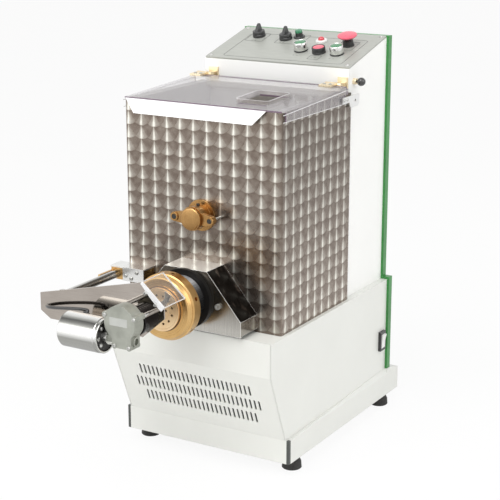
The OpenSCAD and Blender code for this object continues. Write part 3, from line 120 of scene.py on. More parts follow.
class Sketch:
    """Node tree of one finish, with short calls for the nodes that finishes share."""

    def __init__(self, name: str) -> None:
        """Makes an empty principled material.

        Args:
            name: Its name.
        """
        self.material = bpy.data.materials.new(name)
        self.material.use_nodes = True
        self.tree = self.material.node_tree
        self.shader = next(n for n in self.tree.nodes if n.type == "BSDF_PRINCIPLED")

    def node(self, kind: str, **settings: object) -> bpy.types.Node:
        """Adds a node and sets its properties.

        Args:
            kind: Blender's name of the node's type.
            settings: Its properties.

        Returns:
            The node.
        """
        made = self.tree.nodes.new(kind)
        for key, value in settings.items():
            setattr(made, key, value)
        return made

    def feed(self, socket: Socket, value: object) -> None:
        """Links a socket to another one, or sets it to a constant.

        Args:
            socket: The input.
            value: An output to link, or a constant.
        """
        if isinstance(value, Socket):
            self.tree.links.new(value, socket)
        else:
            socket.default_value = value

    def put(self, **values: object) -> None:
        """Sets or links the shader's sockets; an underscore stands for a space.

        Args:
            values: A constant or an output for each input.
        """
        for key, value in values.items():
            if isinstance(value, tuple) and len(value) == 3 and "Normal" not in key:
                value = (*value, 1.0)
            self.feed(self.shader.inputs[key.replace("_", " ")], value)

    def place(self, stretch: Triple = EVEN) -> Socket:
        """Gives the object coordinates in metres, stretched along the axes.

        Args:
            stretch: Factor of each coordinate.

        Returns:
            The coordinates.
        """
        coords = self.node("ShaderNodeTexCoord").outputs["Object"]
        if stretch == EVEN:
            return coords
        mapping = self.node("ShaderNodeMapping")
        self.feed(mapping.inputs["Vector"], coords)
        mapping.inputs["Scale"].default_value = stretch
        return mapping.outputs["Vector"]

    def axes(self, vector: Socket) -> tuple[Socket, ...]:
        """Splits a vector into its three numbers.

        Args:
            vector: The vector.

        Returns:
            Its x, y and z.
        """
        split = self.node("ShaderNodeSeparateXYZ")
        self.feed(split.inputs[0], vector)
        return tuple(split.outputs)

    def sum(self, operation: str, a: object, b: object = 0.0, c: object = 0.0,
            clamp: bool = False) -> Socket:
        """Adds a math node.

        Args:
            operation: Blender's name of the operation.
            a: First value or socket.
            b: Second value or socket.
            c: Third value or socket.
            clamp: Whether the result stays between 0 and 1.

        Returns:
            The node's output.
        """
        made = self.node("ShaderNodeMath", operation=operation, use_clamp=clamp)
        for socket, value in zip(made.inputs, (a, b, c)):
            self.feed(socket, value)
        return made.outputs[0]

    def either(self, test: Socket, yes: object, no: object) -> Socket:
        """Gives yes where test is 1 and no where it is 0.

        Args:
            test: A factor of 0 or 1.
            yes: Constant or socket for 1.
            no: Constant or socket for 0.

        Returns:
            The value that holds.
        """
        mix = self.node("ShaderNodeMix", data_type="FLOAT")
        self.feed(mix.inputs[0], test)
        self.feed(mix.inputs[2], no)
        self.feed(mix.inputs[3], yes)
        return mix.outputs[0]

    def noise(self, scale: float, detail: float = 3.0, stretch: Triple = EVEN) -> Socket:
        """Gives a noise over the object coordinates.

        Args:
            scale: Waves per metre.
            detail: Octaves.
            stretch: Factors of the coordinates; a small one draws the noise out.

        Returns:
            The noise's factor.
        """
        made = self.node("ShaderNodeTexNoise")
        self.feed(made.inputs["Vector"], self.place(stretch))
        for key, value in (("Scale", scale), ("Detail", detail)):
            made.inputs[key].default_value = value
        return made.outputs["Fac"]

    def wave(self, along: Socket, scale: float, detail: float, rough: float = 0.5) -> Socket:
        """Gives a noise that changes along one number only.

        Args:
            along: The number.
            scale: Waves per unit of it.
            detail: Octaves.
            rough: Weight of the finer octaves.

        Returns:
            The noise's factor.
        """
        made = self.node("ShaderNodeTexNoise", noise_dimensions="1D")
        for key, value in (("W", along), ("Scale", scale), ("Detail", detail), ("Roughness", rough)):
            self.feed(made.inputs[key], value)
        return made.outputs["Fac"]

    def from_axis(self, centre: Pair) -> tuple[Socket, Socket]:
        """Gives the offsets in metres from a line that runs along the machine at x and z.

        Args:
            centre: The line's x and z on the machine, in millimetres.

        Returns:
            The offsets along x and along z.
        """
        x, _, z = self.axes(self.place())
        middle = at(centre[0], 0, centre[1])
        return self.sum("SUBTRACT", x, middle.x), self.sum("SUBTRACT", z, middle.z)

    def spread(self, factor: Socket, low: float, high: float,
               start: float = 0.3, end: float = 0.7) -> Socket:
        """Maps a factor from start..end to low..high.

        Args:
            factor: The factor.
            low: Result at the start.
            high: Result at the end.
            start: Where the factor's range starts.
            end: Where it ends.

        Returns:
            The result.
        """
        made = self.node("ShaderNodeMapRange")
        for socket, value in zip(made.inputs, (factor, start, end, low, high)):
            self.feed(socket, value)
        return made.outputs[0]

    def blend(self, factor: object, a: object, b: object) -> Socket:
        """Mixes two colours.

        Args:
            factor: Share of the second colour.
            a: First colour or socket.
            b: Second colour or socket.

        Returns:
            The mixed colour.
        """
        mix = self.node("ShaderNodeMix", data_type="RGBA")
        self.feed(mix.inputs[0], factor)
        for socket, value in ((mix.inputs[6], a), (mix.inputs[7], b)):
            self.feed(socket, (*value, 1.0) if isinstance(value, tuple) else value)
        return mix.outputs[2]

    def looks(self, axis: int, least: float) -> Socket:
        """Gives 1 where the surface looks along an axis (0 to 2) by more than least."""
        normal = self.axes(self.node("ShaderNodeTexCoord").outputs["Normal"])
        return self.sum("GREATER_THAN", self.sum("ABSOLUTE", normal[axis]), least)

    def folds(self, radius: float, gain: float = 9.0) -> Socket:
        """Gives 1 along sharp folds and 0 on open faces.

        Args:
            radius: How far from the fold the band reaches, in metres.
            gain: How quickly the band rises to 1.

        Returns:
            The band's factor.
        """
        bevel = self.node("ShaderNodeBevel", samples=6)
        bevel.inputs["Radius"].default_value = radius
        turn = self.node("ShaderNodeVectorMath", operation="DOT_PRODUCT")
        self.feed(turn.inputs[0], bevel.outputs[0])
        self.feed(turn.inputs[1], self.node("ShaderNodeNewGeometry").outputs["Normal"])
        return self.sum("MULTIPLY", self.sum("SUBTRACT", 1.0, turn.outputs["Value"]), gain, clamp=True)

    def length(self, a: object, b: object) -> Socket:
        """Gives the length of a flat vector."""
        return self.sum("SQRT", self.sum("ADD", self.sum("MULTIPLY", a, a), self.sum("MULTIPLY", b, b)))

    def dim(self, colour: Socket, factor: object) -> Socket:
        """Multiplies a colour by a factor.

        Args:
            colour: The colour.
            factor: Constant or socket.

        Returns:
            The product.
        """
        scale = self.node("ShaderNodeVectorMath", operation="SCALE")
        self.feed(scale.inputs[0], colour)
        self.feed(scale.inputs["Scale"], factor)
        return scale.outputs[0]

    def tones(self, factor: Socket, stops: Iterable[tuple[float, object]]) -> Socket:
        """Colours a factor with a ramp.

        Args:
            factor: Place on the ramp, 0 to 1.
            stops: Place and tone of each stop; a tone is a colour or a level of grey.

        Returns:
            The colour.
        """
        ramp = self.node("ShaderNodeValToRGB")
        elements = ramp.color_ramp.elements
        for i, (spot, colour) in enumerate(stops):
            element = elements[i] if i < 2 else elements.new(spot)
            element.position = spot
            element.color = (*(colour if isinstance(colour, tuple) else (colour,) * 3), 1.0)
        self.feed(ramp.inputs[0], factor)
        return ramp.outputs[0]

    def relief(self, height: Socket, distance: float, strength: float = 1.0,
               edge: float = 0.0) -> None:
        """Bumps the surface, and rounds its edges in the shading.

        Args:
            height: Height factor.
            distance: Metres between height 0 and 1.
            strength: Share of the bump that is used.
            edge: Radius of the rounded edges, in metres.
        """
        bump = self.node("ShaderNodeBump")
        bump.inputs["Strength"].default_value = strength
        bump.inputs["Distance"].default_value = distance
        self.feed(bump.inputs["Height"], height)
        if edge:
            bevel = self.node("ShaderNodeBevel", samples=4)
            bevel.inputs["Radius"].default_value = edge
            self.feed(bump.inputs["Normal"], bevel.outputs[0])
        self.put(Normal=bump.outputs[0])

    def skin(self, colour: Socket, grain: Socket, gloss: Pair, relief: Sequence[float],
             **values: object) -> None:
        """Sets the shader's colour, and lets one grain drive its roughness and its relief.

        Args:
            colour: The base colour.
            grain: Factor of the grain.
            gloss: Roughness in the grain's hollows and on its ridges.
            relief: Depth of the bump, its strength and the edges' radius.
            values: Further values of the shader.
        """
        self.put(Base_Color=colour, Roughness=self.spread(grain, *gloss), **values)
        self.relief(grain, *relief)


class Finish:
    """A surface finish that is made once and shared."""

    made: dict[str, bpy.types.Material] = {}

    def material(self) -> bpy.types.Material:
        """Gives the finish's material, built at its first use.

        Returns:
            The material.
        """
        key = repr(self)
        if key not in Finish.made:
            sketch = Sketch(self.label)
            self.draw(sketch)
            Finish.made[key] = sketch.material
        return Finish.made[key]

    def draw(self, sketch: Sketch) -> None:
        """Builds the finish's nodes.

        Args:
            sketch: The finish's node tree.
        """
        raise NotImplementedError


@dataclass(frozen=True)
class StovedPaint(Finish):
    """Stoved paint with a faint orange peel."""

    label: str
    colour: Triple
    shade: Triple
    roughness: float = 0.38
    coat: float = 0.25
    edge: float = 0.0012

    def draw(self, sketch: Sketch) -> None:
        """Builds the paint's cloudiness, its peel and its soft edges.

        Args:
            sketch: The finish's node tree.
        """
        cloud = sketch.noise(9.0, 4.0)
        sketch.put(
            Base_Color=sketch.blend(sketch.spread(cloud, 0.0, 1.0), self.colour, self.shade),
            Roughness=sketch.spread(sketch.noise(60.0), self.roughness - 0.05, self.roughness + 0.07),
            Coat_Weight=self.coat,
            Coat_Roughness=0.18,
        )
        sketch.relief(sketch.noise(900.0, 2.0), 0.00005, 0.35, self.edge)


@dataclass(frozen=True)
class GrainedSteel(Finish):
    """Steel with a brushed or polished grain along one axis."""

    label: str
    colour: Triple
    shade: Triple
    roughness: float
    stretch: Triple = EVEN
    grain: float = 0.00002
    edge: float = 0.0008

    def draw(self, sketch: Sketch) -> None:
        """Builds the grain in tone, gloss and relief.

        Args:
            sketch: The finish's node tree.
        """
        line = sketch.noise(700.0, 4.0, self.stretch)
        cloud = sketch.spread(sketch.noise(14.0, 3.0), 0.0, 1.0)
        tone = sketch.sum("ADD", sketch.spread(line, -0.25, 0.25), cloud, clamp=True)
        gloss = (self.roughness * 0.8, self.roughness * 1.25)
        sketch.skin(sketch.blend(tone, self.shade, self.colour), line, gloss, (self.grain, 0.6, self.edge),
                    Metallic=1.0)


@dataclass(frozen=True)
class SwirledSteel(Finish):
    """Steel sheet with overlapping round brushed spots in rows, with painted highlight fans in the spots and
    painted shade by height.
    """

    label: str = "swirled_steel_painted_highlights"
    pitch_x: float = 0.0293
    pitch_z: float = 0.0262
    spot: float = 0.0263
    wander: float = 0.0006
    height: Pair = (0.29, 0.68)
    roughness: float = 0.30

    def draw(self, sketch: Sketch) -> None:
        """Builds the spots, each covering the one below it and the one to its right, with a painted highlight
        fan in each.

        Args:
            sketch: The finish's node tree.
        """
        x, y, z = sketch.axes(sketch.place())
        side = sketch.looks(0, 0.6)
        wander = sketch.spread(sketch.noise(34.0, 2.0), -self.wander, self.wander)
        across = sketch.sum("ADD", sketch.either(side, y, x), wander)
        left = self.in_row(sketch, sketch.sum("ADD", across, 10 * self.pitch_x), self.pitch_x)
        low = self.in_row(sketch, sketch.sum("ADD", z, wander), self.pitch_z)
        right = sketch.sum("SUBTRACT", left, self.pitch_x)
        high = sketch.sum("SUBTRACT", low, self.pitch_z)
        upper_left = self.within(sketch, left, high)
        upper_right = self.within(sketch, right, high)
        lower_left = self.within(sketch, left, low)
        upper = sketch.sum("MAXIMUM", upper_left, upper_right)
        dx = sketch.either(upper_left, left, sketch.either(upper_right, right,
                           sketch.either(lower_left, left, right)))
        dz = sketch.either(upper, high, low)
        reach = sketch.length(dx, dz)
        slant = sketch.sum("DIVIDE", dx, sketch.sum("ADD", sketch.sum("ABSOLUTE", dz), 0.0004))
        # Painted highlight: a bright fan up and down each spot's middle, fading towards its rim.
        fan = sketch.tones(sketch.spread(slant, 0.0, 1.0, -1.5, 1.5), (
            (0.0, 0.10), (1.0, 0.09), (0.30, 0.20), (0.42, 0.36), (0.462, 0.62),
            (0.484, 1.0), (0.516, 1.0), (0.54, 0.66), (0.60, 0.46), (0.68, 0.36),
            (0.78, 0.16),
        ))
        highlight_swell = sketch.tones(sketch.sum("DIVIDE", reach, self.spot), (
            (0.0, 0.80), (1.0, 0.42), (0.35, 0.90), (0.80, 1.0), (0.94, 0.92),
        ))
        level = sketch.sum("MULTIPLY", fan, highlight_swell)
        # Painted shade: places outside the spots of the row above are halved.
        level = sketch.sum("MULTIPLY", level, sketch.either(upper, 1.0, 0.5))
        mottle = sketch.spread(sketch.noise(75.0, 4.0), -0.10, 0.12)
        level = sketch.sum("ADD", level, mottle, clamp=True)
        reflection_tone = sketch.tones(level, (
            (0.0, (0.170, 0.133, 0.110)), (1.0, (0.88, 0.87, 0.79)), (0.20, (0.255, 0.215, 0.182)),
            (0.45, (0.365, 0.330, 0.290)), (0.72, (0.60, 0.57, 0.51)),
        ))
        # Painted shade: the side walls lighter low down and darker high up, the front slightly darker low
        # down.
        shade = sketch.either(side, sketch.spread(z, 1.22, 0.76, *self.height),
                              sketch.spread(z, 0.92, 1.00, *self.height))
        sketch.put(
            Base_Color=sketch.dim(reflection_tone, shade),
            Metallic=0.92,
            Roughness=sketch.spread(level, self.roughness - 0.05, self.roughness + 0.06, 0.0, 1.0),
        )
        sketch.relief(sketch.sum("SINE", sketch.sum("MULTIPLY", reach, 6000.0)), 0.00001, 0.4, 0.003)

    def in_row(self, sketch: Sketch, along: Socket, pitch: float) -> Socket:
        """Gives how far a place lies past the last spot of its row."""
        return sketch.sum("MULTIPLY", sketch.sum("FRACT", sketch.sum("DIVIDE", along, pitch)), pitch)

    def within(self, sketch: Sketch, dx: Socket, dz: Socket) -> Socket:
        """Tells whether an offset lies inside a spot."""
        square = sketch.sum("ADD", sketch.sum("MULTIPLY", dx, dx), sketch.sum("MULTIPLY", dz, dz))
        return sketch.sum("LESS_THAN", square, self.spot * self.spot)


@dataclass(frozen=True)
class FoldedSteel(Finish):
    """Polished sheet with painted reflections: each folded face takes its own painted tone, with painted
    highlights on its folds.
    """

    label: str = "folded_bracket_steel_painted_reflections"
    front: Triple = (0.205, 0.190, 0.165)
    foot: Triple = (0.47, 0.455, 0.42)
    slope: Triple = (0.018, 0.016, 0.014)
    top: Triple = (0.86, 0.85, 0.81)
    fold_highlight: Triple = (1.0, 1.0, 0.97)
    reflection_streak: Triple = (0.20, 0.17, 0.15)
    cheek: Triple = (0.42, 0.40, 0.37)
    foot_z: Pair = (0.300, 0.345)
    roughness: float = 0.16

    def draw(self, sketch: Sketch) -> None:
        """Builds the painted reflection tones of the front, the slopes and the top, the painted highlights on
        the folds, and a drawn grain.

        Args:
            sketch: The finish's node tree.
        """
        z = sketch.axes(sketch.place())[2]
        line = sketch.noise(600.0, 4.0, (1.0, 1.0, 0.04))
        grain = sketch.spread(line, 0.90, 1.10)
        reflection_streak = sketch.spread(sketch.noise(90.0, 3.0, (0.5, 1.0, 0.12)), 0.0, 1.0, 0.56, 0.72)
        # Painted reflection: each face direction takes its own tone, the front lighter towards its foot, the
        # slope dark with light streaks, the top bright.
        front = sketch.blend(sketch.spread(z, 0.0, 1.0, *self.foot_z), self.foot, self.front)
        slope = sketch.blend(reflection_streak, self.slope, self.reflection_streak)
        tone = sketch.blend(sketch.looks(0, 0.5), front, slope)
        tone = sketch.blend(sketch.looks(0, 0.97), tone, self.cheek)
        tone = sketch.blend(sketch.looks(2, 0.9), tone, self.top)
        # Painted highlight along the sharp folds.
        fold_highlight = sketch.folds(0.0016)
        tone = sketch.blend(fold_highlight, tone, self.fold_highlight)
        metal = sketch.either(fold_highlight, 0.2, sketch.either(sketch.looks(2, 0.9), 0.62, 0.96))
        sketch.skin(sketch.dim(tone, grain), line, (self.roughness, self.roughness + 0.08),
                    (0.00001, 0.5, 0.0012), Metallic=metal)


@dataclass(frozen=True)
class BandedSteel(Finish):
    """Satin round steel with painted reflection bands that run along its axis, set by the direction the
    surface looks in.
    """

    label: str
    bright: Triple = (0.86, 0.86, 0.84)
    middle: Triple = (0.36, 0.36, 0.34)
    dark: Triple = (0.10, 0.10, 0.095)
    roughness: float = 0.20

    def draw(self, sketch: Sketch) -> None:
        """Builds the painted reflection bands by the direction that the surface looks in, and the fine grain.

        Args:
            sketch: The finish's node tree.
        """
        normal = sketch.axes(sketch.node("ShaderNodeTexCoord").outputs["Normal"])
        wobble = sketch.spread(sketch.noise(12.0, 2.0), -0.03, 0.03)
        # Painted reflection: the tone bands follow how far the surface looks up or down.
        reflection_band = sketch.tones(sketch.spread(sketch.sum("ADD", normal[2], wobble), 0.0, 1.0, -1.0, 1.0), (
            (0.0, self.dark), (1.0, self.bright), (0.22, self.middle), (0.42, self.middle),
            (0.56, self.bright), (0.68, self.bright), (0.80, self.middle), (0.90, self.dark),
            (0.94, self.middle),
        ))
        line = sketch.noise(900.0, 3.0, (0.02, 1.0, 1.0))
        gloss = (self.roughness, self.roughness + 0.07)
        sketch.skin(sketch.dim(reflection_band, sketch.spread(line, 0.93, 1.06)), line, gloss, (0.000004, 0.5, 0.001),
                    Metallic=0.96)


@dataclass(frozen=True)
class SmokySteel(Finish):
    """Dark round steel with a painted highlight that lightens it towards its top."""

    label: str
    # Tone of the painted highlight high on the barrel.
    tone: Triple = (0.60, 0.60, 0.60)

    def draw(self, sketch: Sketch) -> None:
        """Builds the painted highlight tones by how far the surface looks up.

        Args:
            sketch: The finish's node tree.
        """
        normal = sketch.axes(sketch.node("ShaderNodeTexCoord").outputs["Normal"])
        # Painted highlight: lighter the further the surface looks up.
        reflection_band = sketch.tones(sketch.spread(normal[2], 0.0, 1.0, -1.0, 1.0), (
            (0.0, 0.012), (1.0, 0.42), (0.55, 0.020), (0.76, 0.075), (0.86, 0.26),
            (0.93, self.tone),
        ))
        line = sketch.noise(900.0, 3.0, (1.0, 0.02, 1.0))
        sketch.skin(sketch.dim(reflection_band, sketch.spread(line, 0.90, 1.10)), line, (0.22, 0.30),
                    (0.000004, 0.5, 0.001), Metallic=0.35)


@dataclass(frozen=True)
class TankSheet(Finish):
    """Dull inner sheet of the tank, with painted shade on its side walls and on the faces that look up or
    down, such as its rim.
    """

    label: str = "tank_sheet_painted_shade"
    colour: Triple = (0.52, 0.485, 0.445)
    shade: Triple = (0.44, 0.41, 0.375)
    # Shares of painted shade: wall for the side walls, rim for faces that look up or down.
    wall: float = 0.62
    rim: float = 0.50

    def draw(self, sketch: Sketch) -> None:
        """Builds the drawn grain and the painted shade of each wall.

        Args:
            sketch: The finish's node tree.
        """
        line = sketch.noise(700.0, 4.0, (1.0, 1.0, 0.06))
        tone = sketch.blend(sketch.spread(line, 0.0, 1.0), self.shade, self.colour)
        # Painted shade: faces that look up or down and the side walls are dimmed.
        rim = sketch.either(sketch.looks(2, 0.8), self.rim, 1.0)
        wall_shade_share = sketch.either(sketch.looks(0, 0.6), self.wall, rim)
        sketch.skin(sketch.dim(tone, wall_shade_share), line, (0.32, 0.44), (0.00001, 0.5, 0.0008), Metallic=0.45)


@dataclass(frozen=True)
class StreakedBlack(Finish):
    """Blackened polished steel with painted highlight streaks that fan out from its axis."""

    label: str
    centre: Pair
    dark: Triple = (0.022, 0.020, 0.020)
    bright: Triple = (0.62, 0.61, 0.60)

    def draw(self, sketch: Sketch) -> None:
        """Builds the painted highlight streaks by the angle round the axis.

        Args:
            sketch: The finish's node tree.
        """
        dx, dz = sketch.from_axis(self.centre)
        # Painted highlight: bright streaks by the angle round the axis.
        highlight_rays = sketch.wave(sketch.sum("ARCTAN2", dz, dx), 5.5, 6.0, 0.75)
        reflection_streak = sketch.spread(highlight_rays, 0.0, 1.0, 0.60, 0.76)
        sketch.skin(sketch.blend(reflection_streak, self.dark, self.bright), highlight_rays, (0.16, 0.28),
                    (0.00002, 0.5, 0.0006), Metallic=0.9)


@dataclass(frozen=True)
class TurnedBronze(Finish):
    """Turned bronze with fine rings round an axis along the machine."""

    label: str
    axis_z: float
    colour: Triple
    shade: Triple
    roughness: float = 0.30

    def draw(self, sketch: Sketch) -> None:
        """Builds the turning rings, the patina and the soft edges.

        Args:
            sketch: The finish's node tree.
        """
        rings = sketch.wave(sketch.length(*sketch.from_axis((0.0, self.axis_z))), 1400.0, 4.0)
        patina = sketch.spread(sketch.noise(45.0, 5.0), 0.0, 1.0)
        tone = sketch.sum("ADD", sketch.sum("MULTIPLY", patina, 0.7), sketch.spread(rings, 0.0, 0.3),
                          clamp=True)
        gloss = (self.roughness - 0.06, self.roughness + 0.10)
        sketch.skin(sketch.blend(tone, self.shade, self.colour), rings, gloss, (0.00003, 0.6, 0.0008),
                    Metallic=1.0)


@dataclass(frozen=True)
class CastMetal(Finish):
    """Pressure-cast zinc with a fine sandy skin."""

    label: str
    colour: Triple = (0.43, 0.44, 0.39)
    shade: Triple = (0.33, 0.34, 0.30)
    roughness: float = 0.42

    def draw(self, sketch: Sketch) -> None:
        """Builds the cast skin.

        Args:
            sketch: The finish's node tree.
        """
        grit = sketch.noise(1300.0, 3.0)
        cloud = sketch.spread(sketch.noise(40.0, 4.0), 0.0, 1.0)
        gloss = (self.roughness - 0.05, self.roughness + 0.1)
        sketch.skin(sketch.blend(cloud, self.shade, self.colour), grit, gloss, (0.00006, 0.5, 0.0012),
                    Metallic=0.85)


@dataclass(frozen=True)
class Moulded(Finish):
    """Moulded plastic or rubber with a faint grain."""

    label: str
    colour: Triple
    shade: Triple
    roughness: float = 0.32
    grain: float = 0.00002
    coat: float = 0.2
    edge: float = 0.0005
    shine: float = 0.5

    def draw(self, sketch: Sketch) -> None:
        """Builds the moulded skin.

        Args:
            sketch: The finish's node tree.
        """
        grit = sketch.noise(1600.0, 2.0)
        cloud = sketch.spread(sketch.noise(70.0, 3.0), 0.0, 1.0)
        gloss = (self.roughness - 0.05, self.roughness + 0.08)
        sketch.skin(sketch.blend(cloud, self.colour, self.shade), grit, gloss, (self.grain, 0.5, self.edge),
                    Specular_IOR_Level=self.shine, Coat_Weight=self.coat, Coat_Roughness=0.12)


@dataclass(frozen=True)
class Acrylic(Finish):
    """Clear sheet with a faint smoky tint, denser where it is seen edge on."""

    label: str
    colour: Triple = (0.58, 0.55, 0.57)
    cut: Triple = (0.16, 0.10, 0.15)
    face: float = 0.10
    rim: float = 0.42
    roughness: float = 0.05
    dense: float = 0.92
    wiped: Triple = (0.80, 0.78, 0.80)
    refraction: float = 1.49

    def draw(self, sketch: Sketch) -> None:
        """Builds the tint, the sawn front edge's density and a trace of wiping marks.

        Args:
            sketch: The finish's node tree.
        """
        edge = sketch.node("ShaderNodeLayerWeight")
        edge.inputs["Blend"].default_value = 0.35
        wipe = sketch.noise(30.0, 4.0, (1.0, 0.25, 1.0))
        sawn = sketch.looks(1, 0.8)
        tint = sketch.blend(sketch.spread(wipe, 0.0, 0.35), self.colour, self.wiped)
        veil = sketch.spread(edge.outputs["Facing"], self.face, self.rim, 0.0, 1.0)
        sketch.put(
            Base_Color=sketch.blend(sawn, tint, self.cut),
            Roughness=sketch.spread(wipe, self.roughness, self.roughness + 0.05),
            Alpha=sketch.either(sawn, self.dense, veil),
            IOR=self.refraction,
            Coat_Weight=0.3,
            Coat_Roughness=0.03,
        )


@dataclass(frozen=True)
class PrintedPlate(Finish):
    """Pale grey plate with a finely brushed film."""

    label: str = "printed_plate"
    colour: Triple = (0.45, 0.46, 0.42)
    shade: Triple = (0.39, 0.40, 0.365)

    def draw(self, sketch: Sketch) -> None:
        """Builds the film's brushing.

        Args:
            sketch: The finish's node tree.
        """
        line = sketch.noise(900.0, 3.0, (0.04, 1.0, 1.0))
        tone = sketch.blend(sketch.spread(line, 0.0, 1.0), self.colour, self.shade)
        sketch.skin(tone, line, (0.36, 0.48), (0.00001, 0.5, 0.0006), Metallic=0.1, Coat_Weight=0.2,
                    Coat_Roughness=0.2)


@dataclass(frozen=True)
class PaleFloor(Finish):
    """Matt white floor that keeps the shadows and fades into the backdrop."""

    label: str = "pale_floor"
    colour: Triple = (0.93, 0.93, 0.92)
    shade: Triple = (0.90, 0.90, 0.89)
    glow: float = 0.91

    def draw(self, sketch: Sketch) -> None:
        """Mixes a plain white glow for the views with a matt white.

        Args:
            sketch: The finish's node tree.
        """
        dust = sketch.noise(3.0, 3.0)
        sketch.put(
            Base_Color=sketch.blend(sketch.spread(dust, 0.0, 1.0), self.colour, self.shade),
            Roughness=0.9,
            Specular_IOR_Level=0.1,
        )
        path = sketch.node("ShaderNodeLightPath")
        bounced = sketch.sum("MAXIMUM", path.outputs["Is Glossy Ray"], path.outputs["Is Transmission Ray"])
        seen = sketch.sum("MAXIMUM", path.outputs["Is Camera Ray"], bounced)
        white = sketch.node("ShaderNodeEmission")
        white.inputs["Color"].default_value = (1.0, 1.0, 1.0, 1.0)
        mix = sketch.node("ShaderNodeMixShader")
        sketch.feed(mix.inputs[0], sketch.sum("MULTIPLY", seen, self.glow))
        sketch.feed(mix.inputs[1], sketch.shader.outputs[0])
        sketch.feed(mix.inputs[2], white.outputs[0])
        out = next(n for n in sketch.tree.nodes if n.type == "OUTPUT_MATERIAL")
        sketch.feed(out.inputs["Surface"], mix.outputs[0])


WHITE_PAINT = StovedPaint("white_stoved_paint", (0.81, 0.815, 0.775), (0.785, 0.79, 0.75))
# Brighter copy of the white paint: painted light for the column, whose front gets less light than the
# cabinet.
LIT_COLUMN_PAINT = StovedPaint("white_column_paint_painted_light", (0.97, 0.97, 0.95), (0.95, 0.95, 0.93), 0.45, 0.1)
GREEN_PAINT = StovedPaint("green_stoved_paint", (0.030, 0.26, 0.045), (0.024, 0.20, 0.035), 0.36, 0.2, 0.0015)
POST_GREY = StovedPaint("grey_trim_paint", (0.075, 0.08, 0.075), (0.055, 0.06, 0.055), 0.45, 0.1, 0.0006)
# Tub steel with painted highlight fans and painted shade.
SWIRLS = SwirledSteel()
# Bracket steel with painted reflections on its faces and painted highlights on its folds.
SHEET_STEEL = FoldedSteel()
MIRROR_STEEL = GrainedSteel("polished_plate_steel", (0.45, 0.41, 0.37), (0.37, 0.33, 0.295), 0.07,
                            (0.05, 1.0, 1.0), 0.000004, 0.0006)
# Tank sheet with painted shade on its walls.
TANK_STEEL = TankSheet()
SHAFT_STEEL = GrainedSteel("shaft_steel", (0.52, 0.50, 0.47), (0.38, 0.36, 0.34), 0.16, (1.0, 0.05, 1.0))
GEAR_STEEL = GrainedSteel("machined_gear_steel", (0.46, 0.45, 0.44), (0.36, 0.35, 0.34), 0.30)
# Round steels with painted reflection bands.
MOTOR_STEEL = BandedSteel("satin_motor_steel_painted_bands", (0.95, 0.95, 0.93))
TUBE_STEEL = BandedSteel("drawn_tube_steel_painted_bands", (0.62, 0.61, 0.59), (0.20, 0.195, 0.185),
                         (0.07, 0.068, 0.065), 0.18)
STANDOFF_STEEL = BandedSteel("polished_standoff_steel_painted_bands", (0.88, 0.88, 0.87), (0.55, 0.54, 0.52),
                             (0.2, 0.2, 0.19), 0.12)
KNIFE_STEEL = GrainedSteel("knife_steel", (0.66, 0.65, 0.63), (0.54, 0.53, 0.51), 0.14)
TAB_STEEL = GrainedSteel("tab_steel", (0.86, 0.86, 0.85), (0.78, 0.78, 0.77), 0.35)
BRONZE_NUT = TurnedBronze("turned_bronze", 350.0, (0.72, 0.48, 0.21), (0.56, 0.33, 0.12), 0.30)
BRONZE_DIE = TurnedBronze("die_bronze", 350.0, (0.98, 0.76, 0.48), (0.90, 0.64, 0.37), 0.36)
BRONZE_MIXER = TurnedBronze("bearing_bronze", 497.0, (0.50, 0.30, 0.12), (0.32, 0.17, 0.06), 0.30)
BRONZE_HINGE = TurnedBronze("hinge_bronze", 720.0, (0.95, 0.84, 0.62), (0.84, 0.68, 0.44), 0.32)
ZINC_CAST = CastMetal("zinc_casting")
SCREW_ZINC = CastMetal("zinc_plated_screws", (0.60, 0.60, 0.58), (0.48, 0.48, 0.46), 0.28)
BLACK_PLASTIC = Moulded("black_plastic", (0.020, 0.020, 0.021), (0.030, 0.030, 0.031), 0.33)
BLACK_RING = Moulded("black_anodised_ring", (0.007, 0.007, 0.007), (0.012, 0.011, 0.010), 0.35, 0.00001, 0.05,
                     shine=0.2)
MOTOR_PAINT = Moulded("motor_grey_paint", (0.11, 0.13, 0.15), (0.09, 0.105, 0.12), 0.42, 0.00004)
# Bearing steel with painted highlight streaks.
BEARING_BLACK = StreakedBlack("blackened_bearing_steel_painted_streaks", (6.0, 356.0))
WHITE_PLASTIC = Moulded("white_plastic", (0.86, 0.86, 0.84), (0.82, 0.82, 0.80), 0.30)
GREEN_PLASTIC = Moulded("green_lens_plastic", (0.02, 0.19, 0.065), (0.03, 0.24, 0.085), 0.22, 0.00001, 0.5)
RED_PLASTIC = Moulded("red_button_plastic", (0.82, 0.10, 0.16), (0.87, 0.15, 0.21), 0.30, 0.00001, 0.3)
CHROME_RING = GrainedSteel("bright_ring_steel", (0.80, 0.80, 0.78), (0.66, 0.66, 0.64), 0.18,
                           (1.0, 1.0, 0.05))
PRINT_BLACK = Moulded("dark_print_ink", (0.045, 0.045, 0.045), (0.06, 0.06, 0.06), 0.5, 0.00001, 0.0)
# Near-black for thin discs laid in sockets, recesses and openings: painted shade.
RECESS_SHADE = Moulded("painted_recess_shade", (0.012, 0.011, 0.010), (0.020, 0.018, 0.016), 0.5, 0.00001, 0.0)
# Dark brown for the ring in the nut's mouth: painted shade of the gap round the die.
GAP_SHADE_BROWN = Moulded("painted_gap_shade", (0.085, 0.040, 0.012), (0.12, 0.06, 0.02), 0.5, 0.00001, 0.0)
